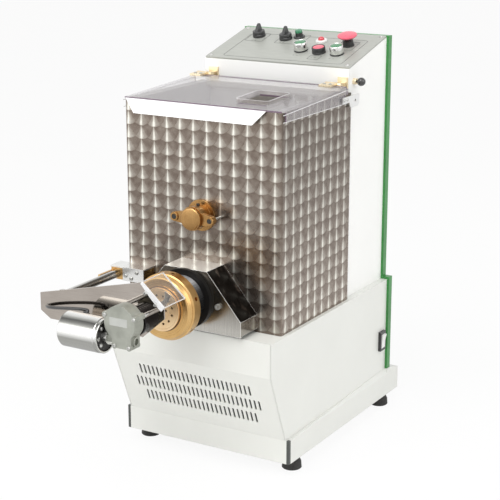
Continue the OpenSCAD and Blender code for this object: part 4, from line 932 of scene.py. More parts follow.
# Full white flap: its own white plus a painted reflection of the bright surround.
FLAP_WHITE_PAINTED_SHEEN = Moulded("white_flap_painted_sheen", (1.0, 1.0, 1.0), (0.98, 0.98, 0.98), 0.30, 0.00001, 0.3)
BLACK_GLOSS = Moulded("glossy_black_ball", (0.014, 0.013, 0.013), (0.022, 0.021, 0.020), 0.12, 0.000005, 0.8)
SELECTOR_BLACK = Moulded("selector_black", (0.030, 0.030, 0.031), (0.045, 0.045, 0.046), 0.36, 0.00002, 0.2)
LAMP_GREEN = Moulded("green_lamp_lens", (0.03, 0.26, 0.12), (0.02, 0.19, 0.08), 0.15, 0.000005, 0.8)
LAMP_RED = Moulded("red_lamp_lens", (0.70, 0.05, 0.07), (0.55, 0.03, 0.05), 0.15, 0.000005, 0.8)
FIELD_GREY = Moulded("blank_field_film", (0.50, 0.51, 0.48), (0.46, 0.47, 0.44), 0.4, 0.00001, 0.1)
CAP_STEEL = GrainedSteel("bright_cap_steel", (0.84, 0.84, 0.83), (0.74, 0.74, 0.72), 0.28, (0.06, 1.0, 1.0))
RUBBER = Moulded("foot_rubber", (0.022, 0.021, 0.020), (0.034, 0.033, 0.031), 0.7, 0.0001, 0.0, 0.001)
CABLE = Moulded("cable_sheath", (0.010, 0.010, 0.010), (0.017, 0.017, 0.017), 0.26, 0.00001, 0.5)
LID_ACRYLIC = Acrylic("lid_acrylic")
FEED_ACRYLIC = Acrylic("feed_acrylic", (0.60, 0.56, 0.54), (0.55, 0.50, 0.48), 0.18, 0.45, 0.05, 0.30)
GUARD_ACRYLIC = Acrylic("guard_acrylic", (0.86, 0.84, 0.82), (0.90, 0.90, 0.90), 0.02, 0.18, 0.04)
LIT_EDGE = Acrylic("lit_sheet_edge", (0.96, 0.95, 0.96), (0.96, 0.95, 0.96), 0.75, 0.85, 0.10, 0.8)
STRIP_WHITE = Acrylic("lit_guard_edge", (0.92, 0.92, 0.92), (0.92, 0.92, 0.93), 0.80, 0.95, 0.10)
# Barrel steel with a painted highlight towards its top.
BARREL_STEEL = SmokySteel("smoky_barrel_steel_painted_highlight")
PLATE_PRINT = PrintedPlate()


# ---------- piece making ----------


class Slot(Enum):
    """Material slots of the record; the push buttons carry theirs, but no piece takes its finish from them.
    """

    BRONZE = "bronze"
    ZINC = "zinc"
    MOTOR_STEEL = "motor_steel"
    PLATE_PRINT = "plate_print"
    BLACK_PLASTIC = "black_plastic"
    WHITE_PLASTIC = "white_plastic"
    GREEN_PLASTIC = "green_plastic"
    RED_PLASTIC = "red_plastic"
    CLEAR_SHEET = "clear_sheet"
    RUBBER = "rubber"


def finish_piece(name: str, mesh: Mesh, finish: Finish, body: str,
                 replaces: Sequence[str] = (), round_edges: float = 0.0,
                 smooth: float = 35.0) -> bpy.types.Object:
    """Turns a mesh into a piece that rides on a body.

    Args:
        name: Name of the piece.
        mesh: Its mesh in the row frame; it is freed.
        finish: Its finish.
        body: The body that it moves with.
        replaces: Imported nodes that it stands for.
        round_edges: Width of a bevel on its sharp edges, in millimetres.
        smooth: Angle in degrees under which its edges are shaded smooth.

    Returns:
        The piece.
    """
    bmesh.ops.recalc_face_normals(mesh, faces=mesh.faces)
    data = bpy.data.meshes.new(name)
    mesh.to_mesh(data)
    mesh.free()
    piece = bpy.data.objects.new(name, data)
    bpy.context.scene.collection.objects.link(piece)
    data.materials.append(finish.material())
    data.polygons.foreach_set("use_smooth", [True] * len(data.polygons))
    data.set_sharp_from_angle(angle=math.radians(smooth))
    if round_edges:
        bevel = piece.modifiers.new("soft_edges", "BEVEL")
        bevel.width = round_edges * MM
        bevel.segments = 3
        bevel.limit_method = "ANGLE"
        bevel.angle_limit = math.radians(smooth)
        bevel.harden_normals = True
    if replaces:
        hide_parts(*replaces)
    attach(piece, body)
    LOG.info("made %s on %s", name, body)
    return piece


def bridge(mesh: Mesh, low: Sequence[bmesh.types.BMVert], high: Sequence[bmesh.types.BMVert]) -> None:
    """Joins two closed loops of as many corners with a band of faces.

    Args:
        mesh: The mesh that both loops are in.
        low: Corners of the first loop, in order.
        high: Corners of the second one, in the same order.
    """
    for i in range(len(low)):
        j = (i + 1) % len(low)
        mesh.faces.new((low[i], low[j], high[j], high[i]))


def lathe(mesh: Mesh, profile: Outline, place: Matrix, sides: int = 64,
          flute: Optional[tuple[int, float]] = None) -> None:
    """Adds a turned solid.

    Args:
        mesh: The mesh that it goes into.
        profile: Radius and height pairs in millimetres, from the bottom to the top; one that
            ends where it starts makes a ring.
        place: Frame whose Z is the turning axis.
        sides: Facets round the axis.
        flute: Number and depth of grip flutes on the widest ring.
    """
    wide = max(radius for radius, _ in profile)
    ring_shaped = profile[0] == profile[-1]
    rings = []
    for radius, height in profile[:-1] if ring_shaped else profile:
        if radius <= 1e-6:
            rings.append([mesh.verts.new(place @ Vector((0, 0, height)))])
            continue
        ring = []
        for i in range(sides):
            a = 2 * math.pi * i / sides
            r = radius
            if flute and radius > wide * 0.93:
                r -= flute[1] * (0.5 + 0.5 * math.cos(a * flute[0]))
            ring.append(mesh.verts.new(place @ Vector((r * math.cos(a), r * math.sin(a), height))))
        rings.append(ring)
    for low, high in zip(rings, rings[1:] + (rings[:1] if ring_shaped else [])):
        for i in range(sides):
            j = (i + 1) % sides
            corners = [low[i % len(low)], low[j % len(low)], high[j % len(high)], high[i % len(high)]]
            mesh.faces.new(list(dict.fromkeys(corners)))
    for ring in () if ring_shaped else (rings[0], rings[-1]):
        if len(ring) > 2:
            mesh.faces.new(ring)


def turned(name: str, finish: Finish, body: str, shapes: Iterable[tuple[Outline, Matrix]],
           sides: int = 64, replaces: Sequence[str] = (), flute: Optional[tuple[int, float]] = None,
           round_edges: float = 0.0) -> bpy.types.Object:
    """Makes a piece of turned solids.

    Args:
        name: Name of the piece.
        finish: Its finish.
        body: The body that it moves with.
        shapes: Profile and place of each solid.
        sides: Facets round each axis.
        replaces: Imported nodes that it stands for.
        flute: Number and depth of grip flutes.
        round_edges: Width of a bevel on its sharp edges, in millimetres.

    Returns:
        The piece.
    """
    mesh = bmesh.new()
    for profile, place in shapes:
        lathe(mesh, profile, place, sides, flute)
    return finish_piece(name, mesh, finish, body, replaces, round_edges)


def prism(mesh: Mesh, outline: Outline, low: float, high: float, place: Matrix) -> None:
    """Adds an extruded outline.

    Args:
        mesh: The mesh that it goes into.
        outline: Corners in millimetres, in order.
        low: Height of the bottom face.
        high: Height of the top face.
        place: Frame of the outline.
    """
    bottom = [mesh.verts.new(place @ Vector((x, y, low))) for x, y in outline]
    top = [mesh.verts.new(place @ Vector((x, y, high))) for x, y in outline]
    mesh.faces.new(bottom)
    mesh.faces.new(top)
    bridge(mesh, bottom, top)


def round_box(width: float, depth: float, radius: float, steps: int = 5) -> list[tuple[float, float]]:
    """Gives the outline of a rectangle with round corners, centred on the origin.

    Args:
        width: Its width.
        depth: Its depth.
        radius: Its corners' radius.
        steps: Segments of each corner.

    Returns:
        Its corners, in order.
    """
    points = []
    for k, (sx, sy) in enumerate(((1, 1), (-1, 1), (-1, -1), (1, -1))):
        for i in range(steps + 1):
            a = math.radians(90 * k + 90 * i / steps)
            points.append((sx * (width / 2 - radius) + radius * math.cos(a),
                           sy * (depth / 2 - radius) + radius * math.sin(a)))
    return points


def sweep(mesh: Mesh, points: Sequence[Vector], radius: float, sides: int = 16) -> None:
    """Adds a round tube along points in the row frame.

    Args:
        mesh: The mesh that it goes into.
        points: Its middle line in metres.
        radius: Its radius in metres.
        sides: Facets round it.
    """
    rings, up = [], Vector((0.2, 0.1, 1.0))
    for i, point in enumerate(points):
        along = (points[min(i + 1, len(points) - 1)] - points[max(i - 1, 0)]).normalized()
        u = along.cross(up).normalized()
        v = along.cross(u)
        rings.append([mesh.verts.new(point + radius * (math.cos(a) * u + math.sin(a) * v))
                      for a in (2 * math.pi * k / sides for k in range(sides))])
    for low, high in zip(rings, rings[1:]):
        bridge(mesh, low, high)
    mesh.faces.new(rings[0])
    mesh.faces.new(rings[-1])


def curve(a: Vector, b: Vector, c: Vector, d: Vector, steps: int) -> list[Vector]:
    """Gives points along a cubic curve from a to d."""
    return [(1 - t) ** 3 * a + 3 * t * (1 - t) ** 2 * b + 3 * t * t * (1 - t) * c + t ** 3 * d
            for t in (i / steps for i in range(steps + 1))]


def frame_line(mesh: Mesh, width: float, depth: float, radius: float, line: float,
               place: Matrix) -> None:
    """Adds a thin printed frame with round corners.

    Args:
        mesh: The mesh that it goes into.
        width: Its outer width.
        depth: Its outer depth.
        radius: Its outer corners' radius.
        line: Width of the line.
        place: Frame at its middle.
    """
    outer = round_box(width, depth, radius)
    inner = round_box(width - 2 * line, depth - 2 * line, max(radius - line, 0.2))
    rings = [[mesh.verts.new(place @ Vector((x, y, h))) for x, y in ring]
             for ring, h in zip((outer, outer, inner, inner), (*FILM, *reversed(FILM)))]
    for low, high in zip(rings, rings[1:] + rings[:1]):
        bridge(mesh, low, high)


def dress(finish: Finish, *nodes: str) -> None:
    """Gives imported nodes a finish, with their shapes as they are.

    Args:
        finish: Their finish.
        nodes: Their names.
    """
    for name in nodes:
        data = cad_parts[name].data
        data.materials.clear()
        data.materials.append(finish.material())
        LOG.info("dressed %s with %s", name, finish.label)


# ---------- sub-assemblies ----------


class Cabinet:
    """White cabinet and column, with the feet, the drive train and the green rear cover."""

    def build(self) -> None:
        """Dresses the cabinet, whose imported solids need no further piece."""
        dress(WHITE_PAINT, "base_body", "front_panel", "foot_tray")
        dress(LIT_COLUMN_PAINT, "column_shell")
        dress(GREEN_PAINT, "rear_cover")
        dress(POST_GREY, "corner_posts")
        dress(RUBBER, "rubber_feet")
        dress(SCREW_ZINC, "casing_screws", "shaft_bearings")
        dress(BLACK_PLASTIC, "mains_gland", "rocker_frame")
        dress(MOTOR_PAINT, "drive_motor")
        dress(GEAR_STEEL, "drive_pinion", "auger_gear", "mixer_gear")
        dress(WHITE_PLASTIC, "rocker_key")


@dataclass
class Tub:
    """Swirl-brushed tub with its tank, paddles, bearing and knob."""

    axis_z: float = 497.0
    ear_x: float = 39.0
    ear_face: float = -35.0
    knob_face: float = -43.3
    knob_r: float = 21.5
    knob_t: float = 8.3
    neck_y: float = -14.0
    neck_r: float = 21.3

    def build(self) -> None:
        """Dresses the tub and adds the bearing's small parts."""
        dress(SWIRLS, "tub_casing")
        dress(TANK_STEEL, "tub_tank")
        dress(SHAFT_STEEL, "mixing_shaft")
        dress(BRONZE_MIXER, "mixer_bearing")
        dress(SCREW_ZINC, "socket_bolts")
        self.knob()
        self.ears()
        self.neck_shade_spot()

    def knob(self) -> None:
        """Turns the smooth knob with its faced front over the shaft's end."""
        r, t = self.knob_r, self.knob_t
        profile = ((0, 0.2), (r - 0.8, 0.2), (r, 1.0), (r, 6.4), (r - 1.4, 7.9), (r - 3.0, t), (0, t))
        turned("mixer_knob_disc", BRONZE_MIXER, "mixer_train",
               [(profile, facing(0, self.knob_face + t, self.axis_z, "-Y"))], 96, ("mixer_knob",))

    def ears(self) -> None:
        """Turns the raised collar round each ear's bolt, with a thin dark disc of painted shade in the bolt's
        socket.
        """
        places = [facing(side * self.ear_x, self.ear_face, self.axis_z, "-Y") for side in (-1, 1)]
        collar = ((4.7, 0.0), (8.6, 0.0), (8.6, 1.6), (7.9, 2.6), (5.2, 2.6), (4.7, 2.0), (4.7, 0.0))
        socket = ((0, 3.05), (4.65, 3.05), (4.65, 3.15), (0, 3.15))
        turned("bearing_ear_collars", BRONZE_MIXER, "machine",
               [(collar, place) for place in places], 48)
        turned("bearing_socket_shade_discs", RECESS_SHADE, "machine",
               [(socket, place) for place in places], 32)

    def neck_shade_spot(self) -> None:
        """Turns a small dark cylinder on the top of the bearing's neck: painted shade standing in for the
        dark opening there.
        """
        profile = ((0, 0), (3.4, 0), (3.4, 2.6), (2.4, 3.6), (0, 3.6))
        turned("bearing_neck_shade_spot", RECESS_SHADE, "machine",
               [(profile, facing(0, self.neck_y, self.axis_z + self.neck_r, "+Z"))], 32)


@dataclass
class Lid:
    """Clear lid with its flap, feed rim, hinges and interlock."""

    half: float = 175.6
    front: float = -3.0
    back: float = 250.0
    base_z: float = 705.3
    thick: float = 3.0
    rise: float = 12.0
    feed: Pair = (87.0, 81.0)
    feed_w: float = 66.0
    feed_d: float = 82.0
    rim_t: float = 3.0
    rim_h: float = 7.0
    tab_y: Pair = (231.0, 244.0)
    tab_drop: float = 10.0
    leaf_x: Pair = (-172.0, 124.0)
    leaf_holes: Pair = (6.5, 19.5)
    leaf_y: float = 238.0
    leaf_top: float = 18.6

    def build(self) -> None:
        """Dresses the lid and adds its screws and its lit edges."""
        dress(LID_ACRYLIC, "lid_sheet")
        dress(FEED_ACRYLIC, "feed_rim")
        dress(FLAP_WHITE_PAINTED_SHEEN, "lid_flap")
        dress(BRONZE_HINGE, "lid_leaves", "hinge_brackets", "latch_bushing")
        dress(TAB_STEEL, "lid_tab")
        dress(BLACK_GLOSS, "latch_plunger")
        self.screws()
        self.lit_edges()

    def screws(self) -> None:
        """Turns the two screws of the interlock tab and the four of the hinge leaves."""
        low = ((0, 0), (3.2, 0), (3.2, 0.8), (2.0, 1.7), (0, 1.9))
        side, tab_z = self.half + self.thick, self.base_z - self.tab_drop
        turned("lid_tab_screws", SCREW_ZINC, "lid",
               [(low, facing(side, y, tab_z, "+X")) for y in self.tab_y], 24)
        flat = ((0, 0), (3.4, 0), (3.4, 0.6), (2.2, 1.5), (0, 1.7))
        turned("hinge_leaf_screws", SCREW_ZINC, "lid",
               [(flat, facing(x + dx, self.leaf_y, self.base_z + self.leaf_top, "+Z"))
                for x in self.leaf_x for dx in self.leaf_holes], 24)

    def front_edge(self, tilt: float) -> Matrix:
        """Gives the frame of the sheet's front edge, tilted by an angle in radians."""
        return local(at(0, self.front, self.base_z), Matrix.Rotation(tilt, 4, "X"))

    def lit_edges(self) -> None:
        """Lays bright lines where light leaves the sheet: its folds, its skirts and the feed rim."""
        mesh = bmesh.new()
        long = self.back - self.front
        sheet = self.front_edge(math.atan2(self.rise, long))
        for side in (-1, 1):
            x0, x1 = sorted((side * (self.half - 0.9), side * (self.half + 0.25)))
            line = ((x0, 1.0), (x1, 1.0), (x1, long - 0.5), (x0, long - 0.5))
            prism(mesh, line, -4.9, -3.7, sheet)
            prism(mesh, line, -17.9, -16.9, self.front_edge(0.0))
        top = sheet @ Matrix.Translation((*self.feed, self.thick + self.rim_h))
        frame_line(mesh, self.feed_w + 2 * self.rim_t, self.feed_d + 2 * self.rim_t, 9.0, 1.5, top)
        finish_piece("lid_lit_edges", mesh, LIT_EDGE, "lid")


@dataclass
class Extruder:
    """Steel bracket, black flange ring, barrel, bronze die and ring nut."""

    axis_z: float = 350.0
    die_face: float = -146.0
    nut_face: float = -140.0
    ring_r: Pair = (19.0, 36.5)
    mouth_r: Pair = (41.35, 42.9)

    def build(self) -> None:
        """Dresses the extruder and adds the fine rings on its die's face and a painted shade ring in its
        nut's mouth.
        """
        dress(SHEET_STEEL, "extruder_bracket")
        dress(BLACK_RING, "flange_ring")
        dress(BARREL_STEEL, "barrel")
        dress(SHAFT_STEEL, "auger")
        dress(BRONZE_DIE, "die")
        dress(BRONZE_NUT, "ring_nut")
        self.die_rings()
        self.nut_gap_shade()

    def die_rings(self) -> None:
        """Turns the fine raised rings on the die's face."""
        place = facing(0, self.die_face, self.axis_z, "-Y")
        turned("die_face_rings", BRONZE_DIE, "machine",
               [(((r, 0.0), (r + 0.8, 0.0), (r + 0.5, 0.35), (r + 0.3, 0.35), (r, 0.0)), place)
                for r in self.ring_r], 96)

    def nut_gap_shade(self) -> None:
        """Turns a thin dark ring of painted shade round the die's edge in the nut's mouth, where the gap
        falls in shadow.
        """
        near, far = self.mouth_r
        profile = ((near, 0.05), (far, 0.05), (far, 0.25), (near, 0.25), (near, 0.05))
        turned("nut_mouth_gap_shade", GAP_SHADE_BROWN, "nut",
               [(profile, facing(0, self.nut_face, self.axis_z, "-Y"))], 96)


@dataclass
class CutterArm:
    """Polished arm with its gearbox, motor, lead, guard and knife."""

    axis_z: float = 350.0
    plate_face: float = -207.0
    worm_y: float = -258.5
    worm_z: float = 326.0
    cover_face: float = -272.0
    field_place: Pair = (-2.0, 361.0)
    field_size: Triple = (38.0, 15.0, 0.35)
    motor_end: float = -42.0
    motor_r: float = 32.5
    bolt_r: float = 21.5
    bolt_turns: tuple[float, ...] = (38.0, 128.0, 218.0, 308.0)
    guard_corner: Triple = (4.0, 0.0, 418.0)
    guard_run: float = 47.0
    guard_fall: float = 41.0
    guard_back: float = -142.0
    guard_t: float = 3.0
    guard_low: float = -3.4
    lead_x: float = -100.0
    lead_r: float = 3.2
    lead_start: Triple = (-178.0, -189.0, 364.0)
    lead_out: Triple = (-0.81, 0.0, -0.586)
    lead_hole: Triple = (-210.0, -205.5, 341.0)
    gland_turn: float = 45.0

    def build(self) -> None:
        """Dresses the arm and adds the motor's end, the bearing with painted highlight streaks and the smooth
        lead.
        """
        dress(MIRROR_STEEL, "arm_plate")
        dress(CAP_STEEL, "arm_bracket")
        dress(TUBE_STEEL, "pivot_tube")
        dress(STANDOFF_STEEL, "standoffs")
        dress(BRONZE_NUT, "hinge_lug")
        dress(ZINC_CAST, "gearbox_body", "gearbox_cover")
        dress(SCREW_ZINC, "arm_screws")
        dress(MOTOR_STEEL, "cutter_motor")
        dress(KNIFE_STEEL, "knife")
        self.bearing()
        self.guard()
        self.motor_bell()
        self.lead()
        self.cover_field()

    def bearing(self) -> None:
        """Turns the knife's bearing housing between the plate and the gearbox."""
        profile = ((6.05, -11.0), (15.9, -11.0), (15.9, 0.02), (25.8, 0.02), (25.8, 20.0), (24.6, 21.4),
                   (15.0, 22.4), (14.0, 30.0), (6.05, 30.0), (6.05, -11.0))
        turned("knife_bearing_housing", BEARING_BLACK, "arm",
               [(profile, facing(0, self.plate_face, self.axis_z, "-Y"))], 72, ("knife_bearing",))

    def guard(self) -> None:
        """Builds the clear guard: its web, its bright front strip and its lit edges."""
        fall = Matrix.Rotation(math.atan2(self.guard_fall, self.guard_run), 4, "Y")
        place = local(at(*self.guard_corner), fall @ Matrix.Rotation(math.radians(-90), 4, "X"))
        long = math.hypot(self.guard_run, self.guard_fall)
        face, back, low = self.plate_face, self.guard_back, self.guard_low
        high = low + self.guard_t
        web, strip, lines = bmesh.new(), bmesh.new(), bmesh.new()
        prism(web, ((0, low), (long, low), (long, high), (0, high)), face, back, place)
        prism(strip, ((0, low), (long, low), (long, 8.0), (0.5 * long, 6.5), (0, 2.0)),
              face - self.guard_t, face - 0.05, place)
        for x0, x1, y1, z0, z1 in ((-0.25, 0.6, high + 0.2, face, back),
                                   (long - 0.6, long + 0.25, high + 0.2, face, back),
                                   (0, long, low + 0.5, back - 0.8, back + 0.2)):
            prism(lines, ((x0, low - 0.3), (x1, low - 0.3), (x1, y1), (x0, y1)), z0, z1, place)
        finish_piece("guard_web", web, GUARD_ACRYLIC, "arm", ("guard",), 0.3)
        finish_piece("guard_front_strip", strip, STRIP_WHITE, "arm", (), 0.4)
        finish_piece("guard_lit_edges", lines, STRIP_WHITE, "arm")

    def motor_bell(self) -> None:
        """Turns the motor's end bell: a rim in the painted-reflection motor steel round a thin dark disc of
        painted shade for the recess, with four tie bolts.
        """
        place = facing(self.motor_end, self.worm_y, self.worm_z, "+X")
        r = self.motor_r
        rim = ((r - 4.6, 0.05), (r - 1.6, 0.05), (r - 0.6, 0.8), (r - 0.6, 2.4), (r - 1.6, 3.2),
               (r - 4.0, 3.2), (r - 4.6, 2.6), (r - 4.6, 0.05))
        shade_disc = ((14.3, 0.05), (r - 4.7, 0.05), (r - 4.7, 0.7), (20.0, 1.5), (14.3, 1.8), (14.3, 0.05))
        bolt = ((0, 0), (3.8, 0), (3.8, 3.0), (2.9, 4.0), (0, 4.2))
        spots = [place @ Matrix.Translation((self.bolt_r * math.cos(a), self.bolt_r * math.sin(a), 1.0))
                 for a in map(math.radians, self.bolt_turns)]
        turned("motor_bell_rim", MOTOR_STEEL, "arm", [(rim, place)], 72)
        turned("motor_bell_shade_disc", RECESS_SHADE, "arm", [(shade_disc, place)], 72)
        turned("motor_tie_bolts", SCREW_ZINC, "arm", [(bolt, spot) for spot in spots], 6,
               round_edges=0.3)

    def lead(self) -> None:
        """Sweeps the motor's lead from the pivot tube through the plate to the motor's gland."""
        out = Vector(self.lead_out)
        start = Vector(self.lead_start) + 8.3 * out
        hole = Vector(self.lead_hole)
        lean = math.radians(self.gland_turn)
        gland = Vector((0.0, math.sin(lean), math.cos(lean)))
        motor = Vector((self.lead_x, self.worm_y, self.worm_z))
        end = motor + (self.motor_r + 4.3) * gland
        points = curve(start, start + 14 * out, hole + Vector((0, 14, 0)), hole, 14)
        points += curve(hole, hole + Vector((0, -30, 0)), end + 12 * gland, end + 3 * gland, 28)[1:]
        points.append(end)
        mesh = bmesh.new()
        sweep(mesh, [at(*point) for point in points], self.lead_r * MM)
        finish_piece("motor_lead_sheath", mesh, CABLE, "arm", ("motor_lead",))
        turn = Vector((0, 0, 1)).rotation_difference(gland).to_matrix().to_4x4()
        foot = motor + (self.motor_r + 0.2) * gland
        nut = ((5.55, 0), (7.4, 0), (7.4, 3.0), (6.4, 3.8), (5.55, 3.8), (5.55, 0))
        turned("motor_gland_nut", BLACK_PLASTIC, "arm",
               [(nut, local(at(*foot), turn))], 6, round_edges=0.3)

    def cover_field(self) -> None:
        """Raises the blank field on the gearbox cover."""
        mesh = bmesh.new()
        (x, z), (width, height, raised) = self.field_place, self.field_size
        prism(mesh, round_box(width, height, 1.5), 0.0, raised, facing(x, self.cover_face, z, "-Y"))
        finish_piece("gearbox_blank_field", mesh, FIELD_GREY, "arm")


@dataclass(frozen=True)
class PushButton:
    """One push button of the plate: its place, its sleeve's height and its finishes."""

    name: str
    spot: Pair
    height: float
    sleeve: Finish
    sleeve_slot: Slot
    cap: Finish
    cap_slot: Slot


@dataclass
class Controls:
    """Control plate with its selectors, buttons, lamps and emergency stop."""

    selectors: tuple[tuple[str, Pair], ...] = (("left", (-107.0, 125.0)), ("right", (-40.0, 119.5)))
    buttons: tuple[PushButton, ...] = (
        PushButton("left", (24.0, 66.0), 19.0, CHROME_RING, Slot.ZINC, GREEN_PLASTIC, Slot.GREEN_PLASTIC),
        PushButton("middle", (67.0, 62.0), 13.0, BLACK_PLASTIC, Slot.BLACK_PLASTIC, RED_PLASTIC,
                   Slot.RED_PLASTIC),
        PushButton("right", (108.0, 61.0), 19.0, CHROME_RING, Slot.ZINC, GREEN_PLASTIC, Slot.GREEN_PLASTIC),
    )
    tall_lamp: Pair = (-16.0, 134.0)
    short_lamp: Pair = (43.0, 120.0)
    stop: Pair = (110.0, 108.0)
    ring_r: float = 14.0
    cap_r: float = 11.6
    barrel_r: float = 11.0
    frames: tuple[tuple[float, ...], ...] = (
        (-131, 141, 12, 140, 8), (-128, -86, 97, 141, 3), (-56, 6, 95, 147, 3), (88, 128, 84, 127, 3),
        (57, 82, 26, 47, 2),
    )
    dashes: tuple[Pair, ...] = ((-107, 101), (-40, 100), (24, 40), (67, 36), (108, 36))

    def build(self) -> None:
        """Dresses the plate and builds its controls."""
        dress(PLATE_PRINT, "control_plate")
        dress(BLACK_PLASTIC, "selector_bezels", "stop_base")
        for name, spot in self.selectors:
            self.selector(name, on_plate(*spot))
        for button in self.buttons:
            self.button(button)
        barrel = ((0, -17.0), (self.barrel_r, -17.0), (self.barrel_r, 0.1), (0, 0.1))
        turned("button_barrels", BLACK_PLASTIC, "machine",
               [(barrel, on_plate(*button.spot)) for button in self.buttons], 32, ("button_bezels",))
        self.pilot_lamps()
        self.stop_button()
        self.print_lines()

    def selector(self, name: str, place: Matrix) -> None:
        """Builds a selector: a ribbed skirt with a curved fin.

        Args:
            name: Side that it stands on.
            place: Its frame on the plate.
        """
        mesh = bmesh.new()
        lathe(mesh, ((0, 6.4), (12.2, 6.4), (13.0, 7.0), (13.0, 11.5), (12.4, 12.3), (10.6, 12.8), (0, 12.8)),
              place, 72, (24, 0.5))
        fin = ((-9.5, 12.4), (-8.2, 16.5), (-5.0, 20.5), (-1.0, 24.6), (2.0, 26.6), (5.0, 27.0), (7.2, 25.2),
               (8.0, 22.0), (8.6, 18.0), (10.0, 12.4))
        half = (3.3, 3.2, 3.0, 2.7, 2.4, 2.3, 2.4, 2.7, 3.0, 3.3)
        sides = [[mesh.verts.new(place @ Vector((side * w, y, h))) for (y, h), w in zip(fin, half)]
                 for side in (-1, 1)]
        bridge(mesh, sides[0], sides[1])
        mesh.faces.new(sides[0])
        mesh.faces.new(sides[1])
        finish_piece(f"selector_fin_{name}", mesh, SELECTOR_BLACK, f"{name}_selector",
                     (f"selector_{name}",), 0.5, 30.0)

    def button(self, button: PushButton) -> None:
        """Builds a push button: a foot ring, a sleeve and a slightly domed cap.

        Args:
            button: Its place, sizes and finishes.
        """
        place, name, h = on_plate(*button.spot), button.name, button.height
        r, c = self.ring_r, self.cap_r
        foot = ((12.6, 0.05), (r, 0.05), (r, 2.6), (r - 0.6, 3.2), (12.6, 3.2), (12.6, 0.05))
        tube = ((c + 0.15, 3.0), (r - 0.5, 3.0), (r - 0.2, 3.6), (r - 0.2, h - 1.6), (r - 0.9, h - 0.4),
                (c + 1.0, h), (c + 0.15, h - 0.7), (c + 0.15, 3.0))
        plug = ((0, 4.6), (c, 4.6), (c, h - 1.6), (c - 0.8, h - 0.6), (c * 0.7, h - 0.1), (c * 0.35, h + 0.3),
                (0, h + 0.4))
        turned(f"button_foot_{name}", BLACK_PLASTIC, "machine", [(foot, place)])
        turned(f"button_sleeve_{name}", button.sleeve, "machine", [(tube, place)])
        turned(f"button_cap_{name}", button.cap, f"{name}_button", [(plug, place)],
               replaces=(f"button_{name}",))

    def pilot_lamps(self) -> None:
        """Builds the tall green lamp and the small red one."""
        tall, short, r = on_plate(*self.tall_lamp), on_plate(*self.short_lamp), self.barrel_r
        barrel = ((0, -13.0), (r, -13.0), (r, 0.0), (12.0, 0.0))
        collar = (*barrel, (12.0, 2.0), (11.0, 3.0), (8.2, 3.0), (7.6, 3.6), (7.6, 11.0), (0, 11.0))
        lens = ((0, 11.0), (7.6, 11.0), (7.6, 15.0), (6.6, 16.4), (4.4, 17.0), (0, 17.2))
        ring = (*barrel, (12.0, 2.6), (10.8, 4.0), (6.8, 4.4), (0, 4.4))
        dome = ((0, 4.3), (6.6, 4.3), (6.4, 6.5), (5.0, 8.8), (2.8, 9.9), (0, 10.2))
        turned("lamp_collar_tall", BLACK_PLASTIC, "machine", [(collar, tall)], 48,
               ("pilot_lamps",))
        turned("lamp_lens_green", LAMP_GREEN, "machine", [(lens, tall)], 48,
               flute=(16, 0.3))
        turned("lamp_ring_white", WHITE_PLASTIC, "machine", [(ring, short)], 48)
        turned("lamp_dome_red", LAMP_RED, "machine", [(dome, short)], 48)

    def stop_button(self) -> None:
        """Builds the emergency stop's mushroom head over its neck."""
        place = on_plate(*self.stop)
        head = ((0, 17.2), (11.5, 17.2), (17.0, 18.2), (19.6, 20.4), (20.0, 22.0), (19.4, 23.4), (17.0, 24.6),
                (11.0, 25.5), (0, 26.0))
        neck = ((0, 4.0), (6.95, 4.0), (6.95, 16.3), (9.0, 16.7), (9.0, 17.1), (0, 17.1))
        turned("stop_mushroom", RED_PLASTIC, "stop", [(head, place)], 72, ("stop_head",))
        turned("stop_neck", BLACK_PLASTIC, "stop", [(neck, place)], 48)

    def print_lines(self) -> None:
        """Lays the printed frame lines and the pairs of dashes on the plate."""
        mesh = bmesh.new()
        for x0, x1, s0, s1, radius in self.frames:
            frame_line(mesh, x1 - x0, s1 - s0, radius, 0.9, on_plate((x0 + x1) / 2, (s0 + s1) / 2))
        for x, s in self.dashes:
            for k in (-1, 1):
                prism(mesh, round_box(4.0, 1.1, 0.4, 2), *FILM, on_plate(x + 4 * k, s))
        finish_piece("plate_print_lines", mesh, PRINT_BLACK, "machine")


# ---------- studio ----------


@dataclass(frozen=True)
class Lamp:
    """A square soft lamp: where it hangs and shines at, its side in metres and its power in watts."""

    name: str
    place: Triple
    target: Triple
    size: float
    power: float

    def hang(self) -> None:
        """Adds the lamp to the scene."""
        data = bpy.data.lights.new(self.name, "AREA")
        data.size = self.size
        data.energy = self.power
        lamp = bpy.data.objects.new(self.name, data)
        lamp.location = self.place
        lamp.rotation_euler = (Vector(self.target) - Vector(self.place)).to_track_quat("-Z", "Y").to_euler()
        bpy.context.scene.collection.objects.link(lamp)


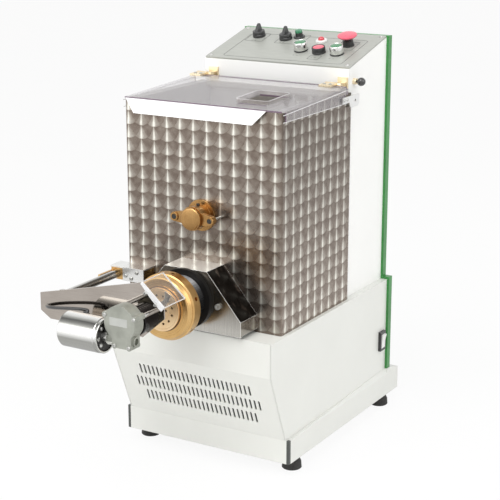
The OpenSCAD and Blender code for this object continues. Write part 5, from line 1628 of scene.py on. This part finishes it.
@dataclass
class Studio:
    """Plain pale floor, level light and the camera."""

    lamps: tuple[Lamp, ...] = (
        Lamp("right_lamp", (3.2, -0.2, 2.2), (0.0, 0.1, 0.4), 2.6, 38.0),
        Lamp("top_lamp", (0.0, -1.7, 3.1), (0.0, 0.1, 0.6), 2.2, 62.0),
        Lamp("front_lamp", (-1.7, -2.0, 1.2), (0.0, 0.0, 0.45), 1.6, 12.0),
    )
    camera_place: Triple = (1.4055, -2.268, 1.134)
    yaw: float = 30.63
    pitch: float = 15.35
    lens: float = 101.3
    sensor: float = 36.0
    far: float = 60.0
    floor_half: float = 12.0
    matt_light: float = 0.58

    def build(self) -> None:
        """Builds the floor, the lamps, the world and the camera."""
        self.floor()
        self.world()
        for lamp in self.lamps:
            lamp.hang()
        self.camera()

    def floor(self) -> None:
        """Lays the floor."""
        mesh = bmesh.new()
        bmesh.ops.create_grid(mesh, x_segments=2, y_segments=2, size=self.floor_half)
        data = bpy.data.meshes.new("studio_floor")
        mesh.to_mesh(data)
        mesh.free()
        floor = bpy.data.objects.new("studio_floor", data)
        data.materials.append(PaleFloor().material())
        bpy.context.scene.collection.objects.link(floor)

    def world(self) -> None:
        """Makes a white surround and an even, lower light for matt surfaces."""
        world = bpy.data.worlds.new("studio_world")
        world.use_nodes = True
        bpy.context.scene.world = world
        tree = world.node_tree
        background = next(n for n in tree.nodes if n.type == "BACKGROUND")
        background.inputs["Color"].default_value = (*EVEN, 1.0)
        path, level = (tree.nodes.new(f"ShaderNode{kind}") for kind in ("LightPath", "MapRange"))
        both, seen = (tree.nodes.new("ShaderNodeMath") for _ in range(2))
        both.operation = seen.operation = "MAXIMUM"
        for source, target in ((path.outputs["Is Glossy Ray"], both.inputs[0]),
                               (path.outputs["Is Transmission Ray"], both.inputs[1]),
                               (path.outputs["Is Camera Ray"], seen.inputs[0]),
                               (both.outputs[0], seen.inputs[1]),
                               (seen.outputs[0], level.inputs[0]),
                               (level.outputs[0], background.inputs["Strength"])):
            tree.links.new(source, target)
        level.inputs["To Min"].default_value = self.matt_light
        level.inputs["To Max"].default_value = 1.0

    def camera(self) -> None:
        """Sets up the camera."""
        data = bpy.data.cameras.new("studio_camera")
        data.lens = self.lens
        data.sensor_width = self.sensor
        data.clip_end = self.far
        camera = bpy.data.objects.new("studio_camera", data)
        camera.location = self.camera_place
        camera.rotation_euler = (math.radians(90.0 - self.pitch), 0.0, math.radians(self.yaw))
        bpy.context.scene.collection.objects.link(camera)
        bpy.context.scene.camera = camera


def main() -> None:
    """Builds the studio and every sub-assembly."""
    logging.basicConfig(level=logging.INFO, format="%(message)s")
    bpy.context.scene.view_settings.view_transform = "Standard"
    for part in (Studio(), Cabinet(), Tub(), Lid(), Extruder(), CutterArm(), Controls()):
        part.build()
        LOG.info("built %s", type(part).__name__)


if __name__ == "__main__":
    main()
